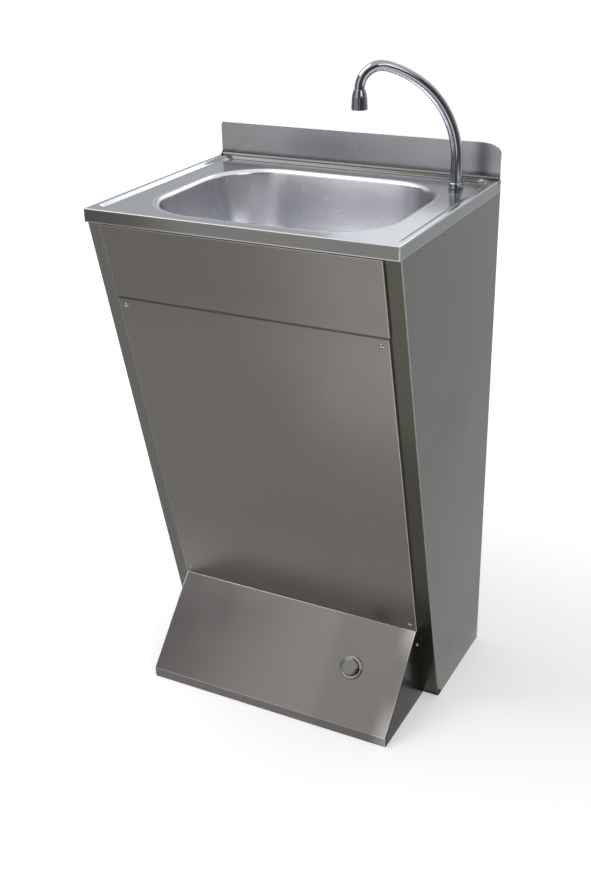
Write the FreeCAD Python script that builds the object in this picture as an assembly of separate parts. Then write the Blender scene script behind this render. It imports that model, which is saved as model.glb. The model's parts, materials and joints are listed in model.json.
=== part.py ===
"""Floor-standing stainless steel hand wash sink with a foot button and a swan neck tap.

Millimetres. The origin is on the floor, midway between the side panels and between the
front and back edges of the worktop. +X is to the right of someone facing the sink,
+Y is towards the wall behind it and +Z is up.
"""
import FreeCAD, Part
import os
from math import acos, atan2, cos, degrees, pi, radians, sin, sqrt, tan

Vec = FreeCAD.Vector
X_AXIS, Y_AXIS, Z_AXIS = Vec(1, 0, 0), Vec(0, 1, 0), Vec(0, 0, 1)

# ---- overall sizes ----
WIDTH = 500.0
DEPTH = 400.0
RIM_HEIGHT = 850.0
UPSTAND_HEIGHT = 55.0

# ---- worktop ----
TOP_SHEET = 1.2
APRON_DROP = 20.0
APRON_HEM = 8.0
EDGE_RADIUS = 2.0
RIM_FLAT = 6.0
STEP_RUN = 22.0
RECESS_DEPTH = 4.5
RECESS_CORNER = 14.0
REAR_STEP_RUN = 8.0
COVE_RADIUS = 6.0
REAR_RIM_FLAT = 1.0
UPSTAND_INSET = 1.5
UPSTAND_HEM = 14.0
UPSTAND_LEFT_CORNER = 6.0
UPSTAND_RIGHT_RUN = 34.0
UPSTAND_RIGHT_RISE = 15.0

# ---- bowl ----
BOWL_LENGTH = 380.0
BOWL_WIDTH = 300.0
BOWL_DEPTH = 120.0
BOWL_CORNER = 95.0
BOWL_DRAFT = 16.0
BOWL_FLOOR_FILLET = 40.0
BOWL_FRONT_MARGIN = 43.0
LIP_RADIUS = 8.0
LIP_FLAT = 2.0
DRAIN_SEAT_RADIUS = 36.0
DRAIN_SEAT_DEPTH = 3.0
DRAIN_HOLE_RADIUS = 23.5

# ---- cabinet ----
PANEL_SHEET = 1.0
FRONT_TOP_SETBACK = 6.5
BASE_DEPTH = 197.0
SIDE_FLANGE = 25.0
FRONT_FLANGE = 48.0
FRONT_FLANGE_AT_TOE = 30.0
FLANGE_OVERLAP = 3.0
PANEL_BEND = 2.0
TRAY_DEPTH = 5.5
TRAY_BEND = 1.2
FASCIA_SIDE_MARGIN = 25.0
FASCIA_FOOT_HEIGHT = 712.0
FASCIA_TOP_GAP = 1.5
ACCESS_SIDE_MARGIN = 26.5
PANEL_GAP = 1.6
SCREW_INSET = 12.0
SCREW_RISE = 14.0

# ---- toe cover ----
TOE_SHEET = 1.2
TOE_SIDE_MARGIN = 27.5
TOE_TOP_HEIGHT = 149.0
TOE_TOP_REACH = 37.5
TOE_REACH = 160.5
TOE_LIP = 17.0
TOE_RETURN = 12.0
TOE_BEND = 2.0
TOE_PANEL_GAP = 1.9
LUG_REACH = 12.0
LUG_HEIGHT = 24.0
LUG_CENTRE_HEIGHT = 122.0

# ---- rails of the open back ----
RAIL_SHEET = 1.2
TOP_RAIL_HEIGHT = 60.0
TOP_RAIL_FLANGE = 15.0
FIXING_SPACING = 300.0
FIXING_RADIUS = 4.5
LOW_RAIL_FOOT = 15.0
LOW_RAIL_HEIGHT = 85.0
LOW_RAIL_SETBACK = 30.0

# ---- small screws ----
SCREW_SHANK_RADIUS = 2.0
SCREW_HEAD_RADIUS = 4.0
SCREW_HEAD_HEIGHT = 2.2
SCREW_REACH = 12.0
TOE_SCREW_HEAD_RADIUS = 3.2
TOE_SCREW_REACH = 7.2

# ---- nuts ----
NUT_BEVEL_SHARE = 0.6
UNION_NUT_LENGTH = 18.0
UNION_NUT_LIP = 4.0
PORT_NUT_FLATS = 26.0
PORT_NUT_LENGTH = 14.0
RING_NUT_HEIGHT = 20.0
RING_NUT_LIP = 4.0
RING_NUT_WALL = 4.0
RING_NUT_RIBS = 8
GRIP_RIB_RADIUS = 1.6
GRIP_RIB_MARGIN = 2.0

# ---- tap ----
TAP_SIDE_MARGIN = 51.0
TAP_REAR_MARGIN = 63.0
COLLAR_RADIUS = 11.0
COLLAR_HEIGHT = 8.5
COLLAR_BEVEL = 1.5
TAP_GASKET = 1.0
SHANK_RADIUS = 8.0
SHANK_DROP = 55.0
TAP_WASHER = 1.5
TAP_NUT_FLATS = 24.0
TAP_NUT_HEIGHT = 9.0
TAP_TAIL_NUT_FLATS = 22.0
TAIL_RADIUS = 6.55
TAIL_LENGTH = 28.0
TAIL_WALL = 2.6
TAIL_SUMP = 2.0
O_RING_RISES = (5.0, 11.0)
O_RING_WIRE_RADIUS = 0.75
O_RING_GROOVE_DEPTH = 1.5
O_RING_GROOVE_HALF = 0.9
SET_SCREW_RADIUS = 1.25
SET_SCREW_RISE = 3.8
SET_SCREW_ENTRY = 0.7
SET_SCREW_RECESS = 0.3
SET_GROOVE_DEPTH = 1.0
SET_GROOVE_HALF = 1.6
SPOUT_BASE_RADIUS = 9.0
SPOUT_TIP_RADIUS = 7.6
SPOUT_BORE_RADIUS = 6.3
SPOUT_RISER = 31.0
SPOUT_SWEEP_RADIUS = 148.5
SPOUT_SWEEP_TURN = 74.5
SPOUT_CROOK_RADIUS = 32.0
SPOUT_OUTLET_RUN = 10.0
AERATOR_TOP_RADIUS = 11.3
AERATOR_FOOT_RADIUS = 12.2
AERATOR_HEIGHT = 19.0
AERATOR_FLUTES = 24
AERATOR_WALL = 1.1
AERATOR_EDGE = 0.6
AERATOR_LIP = 1.2
AERATOR_LIP_HEIGHT = 1.5
FLUTE_RADIUS = 0.55
FLUTE_DEPTH = 0.3
FLUTE_MARGIN = 3.0
JET_HOLE_RADIUS = 0.8
JET_HOLE_RINGS = ((1, 0.0), (6, 2.9), (12, 5.8))
FERRULE_HEIGHT = 9.5
FERRULE_RIM = 1.5
FERRULE_LIP = 1.0
SPIGOT_LENGTH = 7.0

# ---- foot button and its valve ----
BUTTON_SIDE_MARGIN = 119.0
BUTTON_RISE = 95.0
BUTTON_RADIUS = 14.0
BUTTON_PROUD = 12.0
BUTTON_TRAVEL = 8.0
BUTTON_GAP = 1.2
SLEEVE_WALL = 1.3
BEZEL_RIM = 3.5
BEZEL_HEIGHT = 3.0
BEZEL_EDGE = 2.0
SLEEVE_SETBACK = 0.5
CAP_EDGE = 1.5
CAP_WALL = 1.5
CAP_FACE = 2.5
CAP_SKIRT = 4.0
BOSS_RADIUS = 5.0
BOSS_FOOT = 2.0
STUD_RADIUS = 2.5
STUD_END_GAP = 0.5
VALVE_WALL = 1.8
VALVE_SHOULDER = 4.0
VALVE_EDGE = 2.0
VALVE_END_WALL = 5.0
CHAMBER_RADIUS = 11.0
WATERWAY_RADIUS = 6.0
SPRING_SHELF_GAP = 2.0
GUIDE_RADIUS = 9.0
GUIDE_LENGTH = 16.0
SPINDLE_RADIUS = 4.0
SEAT_DEPTH = 46.0
SEAT_WALL = 2.0
SEAT_GAP = 2.5
SEAL_RADIUS = 8.5
SEAL_THICKNESS = 3.0
SEAL_END_GAP = 3.7
OUTLET_PORT_DEPTH = 37.0
INLET_PORT_DEPTH = 53.0
PORT_REACH = 32.0
SPRING_RADIUS = 9.0
SPRING_WIRE_RADIUS = 0.8
SPRING_TURNS = 5

# ---- water pipes ----
HALF_INCH_THREAD_RADIUS = 10.48
RISER_PIPE_RADIUS = 5.0
INLET_PIPE_RADIUS = 6.0
PIPE_WALL = 1.0
PIPE_BEND = 25.0
PORT_NUT_GRIP = 10.0
INLET_SETOVER = 71.0
INLET_NIPPLE = 20.0
THREAD_LEAD = 1.0
BULKHEAD_THREAD_RADIUS = 12.0
CONNECTOR_SHOULDER_RADIUS = 16.0
CONNECTOR_SHOULDER = 4.0
CONNECTOR_BORE_RADIUS = 5.0
STUB_THREAD_RADIUS = 8.33
STUB_LENGTH = 8.0
STUB_NUT_FLATS = 22.0
STUB_NUT_LENGTH = 12.0
LOCK_NUT_FLATS = 30.0
LOCK_NUT_HEIGHT = 6.0

# ---- waste and bottle trap ----
WASTE_THREAD_RADIUS = 23.9
WASTE_TAIL_RADIUS = 20.0
GASKET_THICKNESS = 2.0
GASKET_RADIUS = 33.0
GRID_RADIUS = 34.5
GRID_SHEET = 1.2
GRID_RISE = 2.0
GRID_NECK = 10.0
GRID_NECK_WALL = 2.0
GRID_NECK_GAP = 1.5
GRID_EDGE = 0.8
GRID_HOLE_RADIUS = 2.6
GRID_HOLE_RINGS = ((6, 8.0), (12, 14.5))
WASTE_SCREW_RADIUS = 3.0
WASTE_SCREW_HEAD_RADIUS = 5.0
WASTE_SCREW_HEAD_HEIGHT = 2.0
WASTE_SCREW_REACH = 26.0
WASTE_LENGTH = 52.0
WASTE_WALL = 1.0
WASTE_CUP_RADIUS = 33.0
WASTE_CUP_RIM = 8.0
WASTE_CUP_DEPTH = 12.0
WASTE_CUP_TAPER = 4.0
WASTE_TAPER_FOOT = 18.0
ARM_HALF_WIDTH = 1.5
ARM_HEIGHT = 8.0
TRAP_WALL = 3.0
TRAP_TUBE_RADIUS = 16.0
TRAP_TUBE_WALL = 1.5
TRAP_TUBE_LENGTH = 150.0
TRAP_TUBE_FLANGE = 3.0
TRAP_OUTLET_DROP = 80.0
TRAP_HEAD_RISE = 18.0
TRAP_HEAD_DROP = 24.0
TRAP_CONE = 12.0
TRAP_NECK = 16.0
TRAP_NECK_WALL = 6.0
TRAP_SKIRT = 16.0
TRAP_BRANCH = 62.0
TRAP_CUP_RADIUS = 33.0
TRAP_CUP_HEIGHT = 110.0
TRAP_CUP_WALL = 4.0
TRAP_CUP_THREAD = 18.0
TRAP_CUP_THREAD_DEPTH = 1.0
TRAP_CUP_FILLET = 11.0
TRAP_CUP_RIBS = 12
OUTLET_PIPE_RADIUS = 20.0
OUTLET_PIPE_WALL = 2.0
OUTLET_PIPE_CLEAR = 6.0
OUTLET_BEAD_RADIUS = 22.0
OUTLET_BEAD_WIDTH = 3.0
OUTLET_BEAD_GAP = 8.0

# ---- named clearances ----
RUNNING_FIT = 0.05
LOOSE_FIT = 0.3
SCREW_FIT = 0.15

# ---- places worked out from the sizes ----
FRONT_Y = -DEPTH / 2
BACK_Y = DEPTH / 2
CABINET_TOP = RIM_HEIGHT - APRON_DROP
DECK_Z = RIM_HEIGHT - RECESS_DEPTH
BOWL_Y = FRONT_Y + BOWL_FRONT_MARGIN + BOWL_WIDTH / 2
BOWL_FLOOR_Z = DECK_Z - BOWL_DEPTH
SEAT_Z = BOWL_FLOOR_Z - DRAIN_SEAT_DEPTH
FRONT_TOP_Y = FRONT_Y + FRONT_TOP_SETBACK
FRONT_FOOT_Y = BACK_Y - BASE_DEPTH
FRONT_LEAN = degrees(atan2(FRONT_FOOT_Y - FRONT_TOP_Y, CABINET_TOP))
FASCIA_WIDTH = WIDTH - 2 * FASCIA_SIDE_MARGIN
ACCESS_PANEL_WIDTH = WIDTH - 2 * ACCESS_SIDE_MARGIN
TOE_WIDTH = WIDTH - 2 * TOE_SIDE_MARGIN
TOE_ANGLE = degrees(atan2(TOE_TOP_HEIGHT - TOE_LIP, TOE_REACH - TOE_TOP_REACH))
SLEEVE_RADIUS = BUTTON_RADIUS + BUTTON_GAP + SLEEVE_WALL
BEZEL_RADIUS = SLEEVE_RADIUS + BEZEL_RIM
VALVE_RADIUS = BUTTON_RADIUS + BUTTON_GAP + VALVE_WALL
BUTTON_X = WIDTH / 2 - BUTTON_SIDE_MARGIN
INLET_X = BUTTON_X - INLET_SETOVER
BUTTON_Y = -TOE_REACH + BUTTON_RISE * cos(radians(TOE_ANGLE))
BUTTON_Z = TOE_LIP + BUTTON_RISE * sin(radians(TOE_ANGLE))
SPRING_SHELF = CAP_SKIRT + BUTTON_TRAVEL + SPRING_SHELF_GAP
SEAL_TOP = -SEAT_DEPTH - LOOSE_FIT
VALVE_END = SEAL_TOP - SEAL_THICKNESS - BUTTON_TRAVEL - SEAL_END_GAP - VALVE_END_WALL
TAP_X = WIDTH / 2 - TAP_SIDE_MARGIN
TAP_Y = BACK_Y - TAP_REAR_MARGIN
COLLAR_TOP = TAP_GASKET + COLLAR_HEIGHT
SPOUT_YAW = degrees(atan2(BOWL_Y - TAP_Y, -TAP_X))
WASTE_TOP = -TOP_SHEET - GASKET_THICKNESS
WASTE_FOOT = WASTE_TOP - WASTE_LENGTH
TRAP_OUTLET = WASTE_FOOT - TRAP_OUTLET_DROP


# ---- shape helpers ----
def box(x0, x1, y0, y1, z0, z1):
    """A box between two corners."""
    return Part.makeBox(x1 - x0, y1 - y0, z1 - z0, Vec(x0, y0, z0))


def rod(radius, z0, z1, x=0.0, y=0.0):
    """A round bar along Z."""
    return Part.makeCylinder(radius, z1 - z0, Vec(x, y, z0))


def ring(outer, inner, z0, z1):
    """A plain washer or sleeve round Z."""
    return rod(outer, z0, z1).cut(rod(inner, z0 - 1, z1 + 1))


def ringed_holes(rings, radius, z0, z1):
    """Bars for rings of round holes, each ring given as its count and its reach from the axis."""
    bars = []
    for count, reach in rings:
        for k in range(count):
            angle = 2 * pi * (k + 0.5) / count
            bars.append(rod(radius, z0, z1, reach * cos(angle), reach * sin(angle)))
    return bars


def turned(profile):
    """A solid turned round Z from a closed outline of (radius, height) points."""
    points = [Vec(r, 0, z) for r, z in profile]
    face = Part.Face(Part.makePolygon(points + points[:1]))
    return face.revolve(Vec(0, 0, 0), Z_AXIS, 360)


def prism_x(outline, x0, x1):
    """An outline of (y, z) points pushed out along X."""
    points = [Vec(x0, y, z) for y, z in outline]
    face = Part.Face(Part.makePolygon(points + points[:1]))
    return face.extrude(Vec(x1 - x0, 0, 0))


def offset_prism_x(outline, inward, x0, x1):
    """The same outline drawn in on every side by a sheet thickness, pushed out along X."""
    points = [Vec(x0, y, z) for y, z in outline]
    face = Part.Face(Part.makePolygon(points + points[:1]))
    return face.makeOffset2D(-inward, join=2).extrude(Vec(x1 - x0, 0, 0))


def rounded_outline(length, width, corner, z, centre_y):
    """A closed outline of four straight sides and four quarter circles, level at z."""
    a, b = length / 2, width / 2
    edges = []
    for turn, (sx, sy) in enumerate([(1, 1), (-1, 1), (-1, -1), (1, -1)]):
        mid = Vec(sx * (a - corner), centre_y + sy * (b - corner), z)
        start = turn * pi / 2
        at = [mid + Vec(cos(start + k * pi / 4), sin(start + k * pi / 4), 0) * corner for k in range(3)]
        if edges:
            edges.append(Part.makeLine(edges[-1].valueAt(edges[-1].LastParameter), at[0]))
        edges.append(Part.Arc(*at).toShape())
    last = edges[-1].valueAt(edges[-1].LastParameter)
    edges.append(Part.makeLine(last, edges[0].valueAt(edges[0].FirstParameter)))
    return Part.Wire(edges)


def rounded_slab(length, width, corner, z0, z1, centre_y):
    """A flat plate with rounded corners."""
    face = Part.Face(rounded_outline(length, width, corner, z0, centre_y))
    return face.extrude(Vec(0, 0, z1 - z0))


def edges_at_height(shape, z):
    """Edges that lie level at one height."""
    return [e for e in shape.Edges if abs(e.BoundBox.ZMin - z) < 1e-4 and abs(e.BoundBox.ZMax - z) < 1e-4]


def hexagon(across_flats, z0, z1):
    """A hexagonal bar with its corners turned off at both ends, as on a nut."""
    radius = across_flats / sqrt(3)
    points = [Vec(radius * cos(k * pi / 3), radius * sin(k * pi / 3), z0) for k in range(6)]
    bar = Part.Face(Part.makePolygon(points + points[:1])).extrude(Vec(0, 0, z1 - z0))
    bevel = (radius - across_flats / 2) * NUT_BEVEL_SHARE
    return bar.common(turned([(0, z0), (radius - bevel, z0), (radius, z0 + bevel),
                              (radius, z1 - bevel), (radius - bevel, z1), (0, z1)]))


def hex_nut(across_flats, bore, z0, z1):
    """A plain hexagonal nut on Z."""
    return hexagon(across_flats, z0, z1).cut(rod(bore, z0 - 1, z1 + 1))


def union_nut(across_flats, thread_bore, pipe_bore, length):
    """A union nut: hexagon with a wide threaded bore from z = 0 and a lip that holds the pipe."""
    nut = hexagon(across_flats, 0, length)
    return nut.cut(rod(thread_bore, -1, length - UNION_NUT_LIP)).cut(rod(pipe_bore, -1, length + 1))


def bent_path(points, bend):
    """Straight runs through the points, joined by tangent arcs of one bend radius."""
    edges = []
    start = points[0]
    for before, corner, after in zip(points, points[1:], points[2:]):
        into = (corner - before).normalize()
        out = (after - corner).normalize()
        turn = acos(into.dot(out))
        cut_back = bend * tan(turn / 2)
        first, last = corner - into * cut_back, corner + out * cut_back
        inward = (out - into).normalize()
        middle = corner + inward * (bend / cos(turn / 2) - bend)
        edges.append(Part.makeLine(start, first))
        edges.append(Part.Arc(first, middle, last).toShape())
        start = last
    edges.append(Part.makeLine(start, points[-1]))
    return Part.Wire(edges)


def swept_rod(path, start_radius, end_radius=None):
    """A round section carried along a path, tapering when a second radius is given."""
    first, last = path.Edges[0], path.Edges[-1]
    sections = [(first.valueAt(first.FirstParameter), first.tangentAt(first.FirstParameter), start_radius)]
    if end_radius is not None:
        sections.append((last.valueAt(last.LastParameter), last.tangentAt(last.LastParameter), end_radius))
    circles = [Part.Wire(Part.makeCircle(radius, point, direction)) for point, direction, radius in sections]
    return path.makePipeShell(circles, True, False)


def pipe(points, bend, radius, wall):
    """A bent pipe with an open bore."""
    path = bent_path(points, bend)
    return swept_rod(path, radius).cut(swept_rod(path, radius - wall))


def moved(shape, x=0.0, y=0.0, z=0.0):
    """The shape shifted without turning."""
    result = shape.copy()
    result.translate(Vec(x, y, z))
    return result


def turned_to(shape, axis, angle, origin=Vec(0, 0, 0)):
    """The shape turned about a line through a point."""
    result = shape.copy()
    result.rotate(origin, axis, angle)
    return result


def on_front(shape):
    """Sets a shape on the leaning front: Y = 0 is the flange face, Z runs up the slope."""
    return moved(turned_to(shape, X_AXIS, FRONT_LEAN), y=FRONT_FOOT_Y)


def on_toe(shape):
    """Sets a shape on the toe slope: the origin is the button's centre, Z points at the foot."""
    return moved(turned_to(shape, X_AXIS, TOE_ANGLE), BUTTON_X, BUTTON_Y, BUTTON_Z)


def toe_point(x, depth):
    """The place of a point behind the toe slope, on a line across the valve."""
    angle = radians(TOE_ANGLE)
    return Vec(BUTTON_X + x, BUTTON_Y + depth * sin(angle), BUTTON_Z - depth * cos(angle))


def along_y(shape, x, y, z):
    """Turns a shape made along Z to point at the wall, and sets it in place."""
    return moved(turned_to(shape, X_AXIS, -90), x, y, z)


def on_tap(shape):
    """Sets a shape made round Z, with z = 0 on the deck, on the tap's axis."""
    return moved(shape, TAP_X, TAP_Y, DECK_Z)


def on_spout(shape):
    """Sets a shape made with the spout reaching along +X on the tap, turned to the bowl."""
    return on_tap(turned_to(shape, Z_AXIS, SPOUT_YAW))


def on_drain(shape):
    """Sets a shape made round Z, with z = 0 on the drain's seat, on the drain's axis."""
    return moved(shape, 0, BOWL_Y, SEAT_Z)


def front_y(height):
    """Y of the leaning flange face at a height."""
    return FRONT_FOOT_Y - height * tan(radians(FRONT_LEAN))


def up_slope(height):
    """Distance from the floor up the leaning front to a height."""
    return height / cos(radians(FRONT_LEAN))


def screw(head_radius, head_height, shank_radius, length):
    """A screw along Z: domed head above z = 0 and shank below."""
    dome_radius = (head_radius ** 2 + head_height ** 2) / (2 * head_height)
    ball = Part.makeSphere(dome_radius, Vec(0, 0, head_height - dome_radius))
    head = rod(head_radius, 0, head_height).common(ball)
    return head.fuse(rod(shank_radius, -length, 0)).removeSplitter()


def screw_hole():
    """The bar that cuts a small screw's hole through a sheet at z = 0."""
    return rod(SCREW_SHANK_RADIUS + SCREW_FIT, -SCREW_REACH, SCREW_REACH)


# ---- worktop ----
def recess(drop, grow):
    """The shallow dish pressed into the deck, lowered and widened to make its underside."""
    rear_rim = COVE_RADIUS + 2 * TOP_SHEET + REAR_RIM_FLAT
    top_front = FRONT_Y + RIM_FLAT - grow
    top_back = BACK_Y - rear_rim + grow
    low_front = top_front + STEP_RUN
    low_back = top_back - REAR_STEP_RUN
    top_length = WIDTH - 2 * RIM_FLAT + 2 * grow
    low_length = top_length - 2 * STEP_RUN
    top = rounded_outline(top_length, top_back - top_front, RECESS_CORNER + STEP_RUN / 2 + grow,
                          RIM_HEIGHT - drop, (top_front + top_back) / 2)
    low = rounded_outline(low_length, low_back - low_front, RECESS_CORNER + grow,
                          DECK_Z - drop, (low_front + low_back) / 2)
    return Part.makeLoft([low, top], True, True)


def upstand():
    """The rear upstand: coved foot, upright sheet and a hem folded back along its top."""
    face_y = BACK_Y - 2 * TOP_SHEET
    back_y = BACK_Y - TOP_SHEET
    top_z = RIM_HEIGHT + UPSTAND_HEIGHT
    start = Vec(0, face_y - COVE_RADIUS, RIM_HEIGHT)
    cove_end = Vec(0, face_y, RIM_HEIGHT + COVE_RADIUS)
    cove_mid = Vec(0, face_y - COVE_RADIUS * (1 - sin(pi / 4)), RIM_HEIGHT + COVE_RADIUS * (1 - cos(pi / 4)))
    fold_start = Vec(0, face_y, top_z - TOP_SHEET)
    fold_end = Vec(0, BACK_Y, top_z - TOP_SHEET)
    hem_foot = Vec(0, BACK_Y, top_z - UPSTAND_HEM)
    hem_inner = Vec(0, back_y, top_z - UPSTAND_HEM)
    foot = Vec(0, back_y, RIM_HEIGHT)
    profile = Part.Wire([
        Part.Arc(start, cove_mid, cove_end).toShape(),
        Part.makeLine(cove_end, fold_start),
        Part.Arc(fold_start, Vec(0, back_y, top_z), fold_end).toShape(),
        Part.makeLine(fold_end, hem_foot),
        Part.makeLine(hem_foot, hem_inner),
        Part.makeLine(hem_inner, foot),
        Part.makeLine(foot, start)])
    half = WIDTH / 2 - UPSTAND_INSET
    sheet = moved(Part.Face(profile).extrude(Vec(2 * half, 0, 0)), x=-half)
    return sheet.common(upstand_outline(half, top_z))


def upstand_outline(half, top_z):
    """Front view of the upstand: a small corner on the left, a long round one on the right."""
    y0 = FRONT_Y
    foot_left, foot_right = Vec(-half, y0, RIM_HEIGHT), Vec(half, y0, RIM_HEIGHT)
    r = UPSTAND_LEFT_CORNER
    left_low = Vec(-half, y0, top_z - r)
    left_mid = Vec(-half + r * (1 - cos(pi / 4)), y0, top_z - r * (1 - sin(pi / 4)))
    left_high = Vec(-half + r, y0, top_z)
    run, rise = UPSTAND_RIGHT_RUN, UPSTAND_RIGHT_RISE
    centre = Vec(half - run, y0, top_z - rise)
    right_high, right_low = centre + Vec(0, 0, rise), centre + Vec(run, 0, 0)
    ellipse = Part.Ellipse(right_low, right_high, centre)
    quarter = Part.Arc(ellipse, 0, pi / 2).toShape()
    outline = Part.Wire(Part.__sortEdges__([
        Part.makeLine(foot_left, left_low), Part.Arc(left_low, left_mid, left_high).toShape(),
        Part.makeLine(left_high, right_high), quarter,
        Part.makeLine(right_low, foot_right), Part.makeLine(foot_right, foot_left)]))
    return Part.Face(outline).extrude(Vec(0, DEPTH, 0))


def worktop():
    """Pressed top: raised rim, recessed deck, hemmed apron on three sides and the upstand."""
    t = TOP_SHEET
    block = box(-WIDTH / 2, WIDTH / 2, FRONT_Y, BACK_Y, CABINET_TOP, RIM_HEIGHT)
    rounded = []
    for edge in block.Edges:
        b = edge.BoundBox
        top_edge = b.ZMin > RIM_HEIGHT - 0.1 and b.YMin < BACK_Y - 0.1
        front_corner = b.ZLength > 1 and b.YMax < FRONT_Y + 0.1
        if top_edge or front_corner:
            rounded.append(edge)
    block = block.makeFillet(EDGE_RADIUS, rounded)
    hollow = box(-WIDTH / 2 + t, WIDTH / 2 - t, FRONT_Y + t, BACK_Y + 1, CABINET_TOP - 1, RIM_HEIGHT - t)
    hollow = hollow.cut(recess(t, t))
    hem = box(-WIDTH / 2 + t / 2, WIDTH / 2 - t / 2, FRONT_Y + t / 2, BACK_Y, CABINET_TOP, CABINET_TOP + t)
    hem = hem.cut(box(-WIDTH / 2 + APRON_HEM, WIDTH / 2 - APRON_HEM, FRONT_Y + APRON_HEM, BACK_Y + 1,
                      CABINET_TOP - 1, CABINET_TOP + 2 * t))
    lip = LIP_RADIUS + LIP_FLAT
    bowl_cut = rounded_slab(BOWL_LENGTH + 2 * lip, BOWL_WIDTH + 2 * lip, BOWL_CORNER + lip,
                            DECK_Z - 2 * t, RIM_HEIGHT, BOWL_Y)
    tap_hole = rod(SHANK_RADIUS + LOOSE_FIT, DECK_Z - 2 * t, RIM_HEIGHT, TAP_X, TAP_Y)
    top = block.cut(hollow).cut(recess(0, 0)).cut(bowl_cut).cut(tap_hole)
    return top.fuse([hem, upstand()]).removeSplitter()


# ---- bowl ----
def bowl_form(grow, floor_z, top_z):
    """The drawn basin as a closed form with a rounded floor, widened by a wall thickness."""
    slope = BOWL_DRAFT / BOWL_DEPTH
    draw_in = slope * (top_z - floor_z)
    top = rounded_outline(BOWL_LENGTH + 2 * grow, BOWL_WIDTH + 2 * grow, BOWL_CORNER + grow, top_z, BOWL_Y)
    floor = rounded_outline(BOWL_LENGTH + 2 * (grow - draw_in), BOWL_WIDTH + 2 * (grow - draw_in),
                            BOWL_CORNER + grow - draw_in, floor_z, BOWL_Y)
    form = Part.makeLoft([floor, top], True, True)
    return form.makeFillet(BOWL_FLOOR_FILLET + grow, edges_at_height(form, floor_z))


def drain_dish(grow, top_z, low_z):
    """The conical seat pressed down round the drain."""
    slope_run = DRAIN_SEAT_DEPTH + grow
    cone = Part.makeCone(DRAIN_SEAT_RADIUS + grow, DRAIN_SEAT_RADIUS + slope_run + grow, top_z - low_z)
    return moved(cone, 0, BOWL_Y, low_z)


def bowl():
    """Deep drawn basin: rolled lip, drafted walls, rounded floor and a dished drain seat."""
    t = TOP_SHEET
    lip = LIP_RADIUS + LIP_FLAT
    plate = rounded_slab(BOWL_LENGTH + 2 * lip, BOWL_WIDTH + 2 * lip, BOWL_CORNER + lip,
                         DECK_Z - t, DECK_Z, BOWL_Y)
    outside = bowl_form(t, BOWL_FLOOR_Z - t, DECK_Z - t).fuse(plate)
    outside = outside.makeFillet(LIP_RADIUS - t, mouth_edges(outside, DECK_Z - t))
    outside = outside.fuse(drain_dish(t, BOWL_FLOOR_Z - t, SEAT_Z - t))
    slab = box(-WIDTH, WIDTH, -DEPTH, DEPTH, DECK_Z, DECK_Z + LIP_RADIUS)
    inside = bowl_form(0, BOWL_FLOOR_Z, DECK_Z).fuse(slab)
    inside = inside.makeFillet(LIP_RADIUS, mouth_edges(inside, DECK_Z))
    inside = inside.fuse(drain_dish(0, BOWL_FLOOR_Z, SEAT_Z))
    drain = rod(DRAIN_HOLE_RADIUS, SEAT_Z - 3 * t, BOWL_FLOOR_Z, 0, BOWL_Y)
    return outside.cut(inside).cut(drain)


def mouth_edges(shape, z):
    """Level edges round the bowl's mouth, leaving out those of the plate round it."""
    reach = BOWL_LENGTH / 2 + LIP_RADIUS
    depth = BOWL_WIDTH / 2 + LIP_RADIUS
    found = []
    for edge in edges_at_height(shape, z):
        b = edge.BoundBox
        if b.XMin > -reach and b.XMax < reach and b.YMin > BOWL_Y - depth and b.YMax < BOWL_Y + depth:
            found.append(edge)
    return found


# ---- cabinet ----
def side_outline():
    """Side view of the cabinet: upright back and a front that leans in towards the floor."""
    return [(BACK_Y, 0), (BACK_Y, CABINET_TOP), (FRONT_TOP_Y, CABINET_TOP), (FRONT_FOOT_Y, 0)]


def side_panel_right():
    """Folded side: outer sheet with front, back, top and bottom flanges and a lug for the toe cover."""
    t = PANEL_SHEET
    outer_x = WIDTH / 2
    front_inner_x = outer_x - FRONT_FLANGE
    tray = prism_x(side_outline(), front_inner_x, outer_x)
    bends = [e for e in tray.Edges if e.BoundBox.XMin > outer_x - 0.1 and e.BoundBox.ZLength > 1]
    tray = tray.makeFillet(PANEL_BEND, bends)
    tray = tray.cut(offset_prism_x(side_outline(), t, front_inner_x - 1, outer_x - t))
    behind = t / cos(radians(FRONT_LEAN))
    inner = [(front_y(-1) + behind, -1), (front_y(CABINET_TOP + 1) + behind, CABINET_TOP + 1),
             (BACK_Y + 1, CABINET_TOP + 1), (BACK_Y + 1, -1)]
    tray = tray.cut(prism_x(inner, front_inner_x - 1, outer_x - SIDE_FLANGE))
    lug_x = outer_x - FRONT_FLANGE_AT_TOE
    tray = tray.cut(box(front_inner_x - 1, lug_x, FRONT_Y, BACK_Y, -1, TOE_TOP_HEIGHT - FLANGE_OVERLAP))
    lug_z = up_slope(LUG_CENTRE_HEIGHT)
    lug = box(lug_x, lug_x + t, -LUG_REACH, t, lug_z - LUG_HEIGHT / 2, lug_z + LUG_HEIGHT / 2)
    lug = lug.cut(moved(turned_to(screw_hole(), Y_AXIS, 90), lug_x, -LUG_REACH / 2, lug_z))
    panel = tray.fuse(on_front(lug))
    for z in access_screw_heights():
        hole = moved(turned_to(screw_hole(), X_AXIS, 90), ACCESS_PANEL_WIDTH / 2 - SCREW_INSET, 0, z)
        panel = panel.cut(on_front(hole))
    return panel.removeSplitter()


def side_panel_left():
    """The same panel handed for the left side."""
    return side_panel_right().mirror(Vec(0, 0, 0), X_AXIS)


def front_tray(width, foot, top):
    """A shallow folded tray on the leaning front, open at the back."""
    t = PANEL_SHEET
    tray = box(-width / 2, width / 2, -TRAY_DEPTH, 0, foot, top)
    face_edges = [e for e in tray.Edges if e.BoundBox.YMax < -TRAY_DEPTH + 0.1]
    tray = tray.makeFillet(TRAY_BEND, face_edges)
    return tray.cut(box(-width / 2 + t, width / 2 - t, -TRAY_DEPTH + t, 1, foot + t, top - t))


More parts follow.
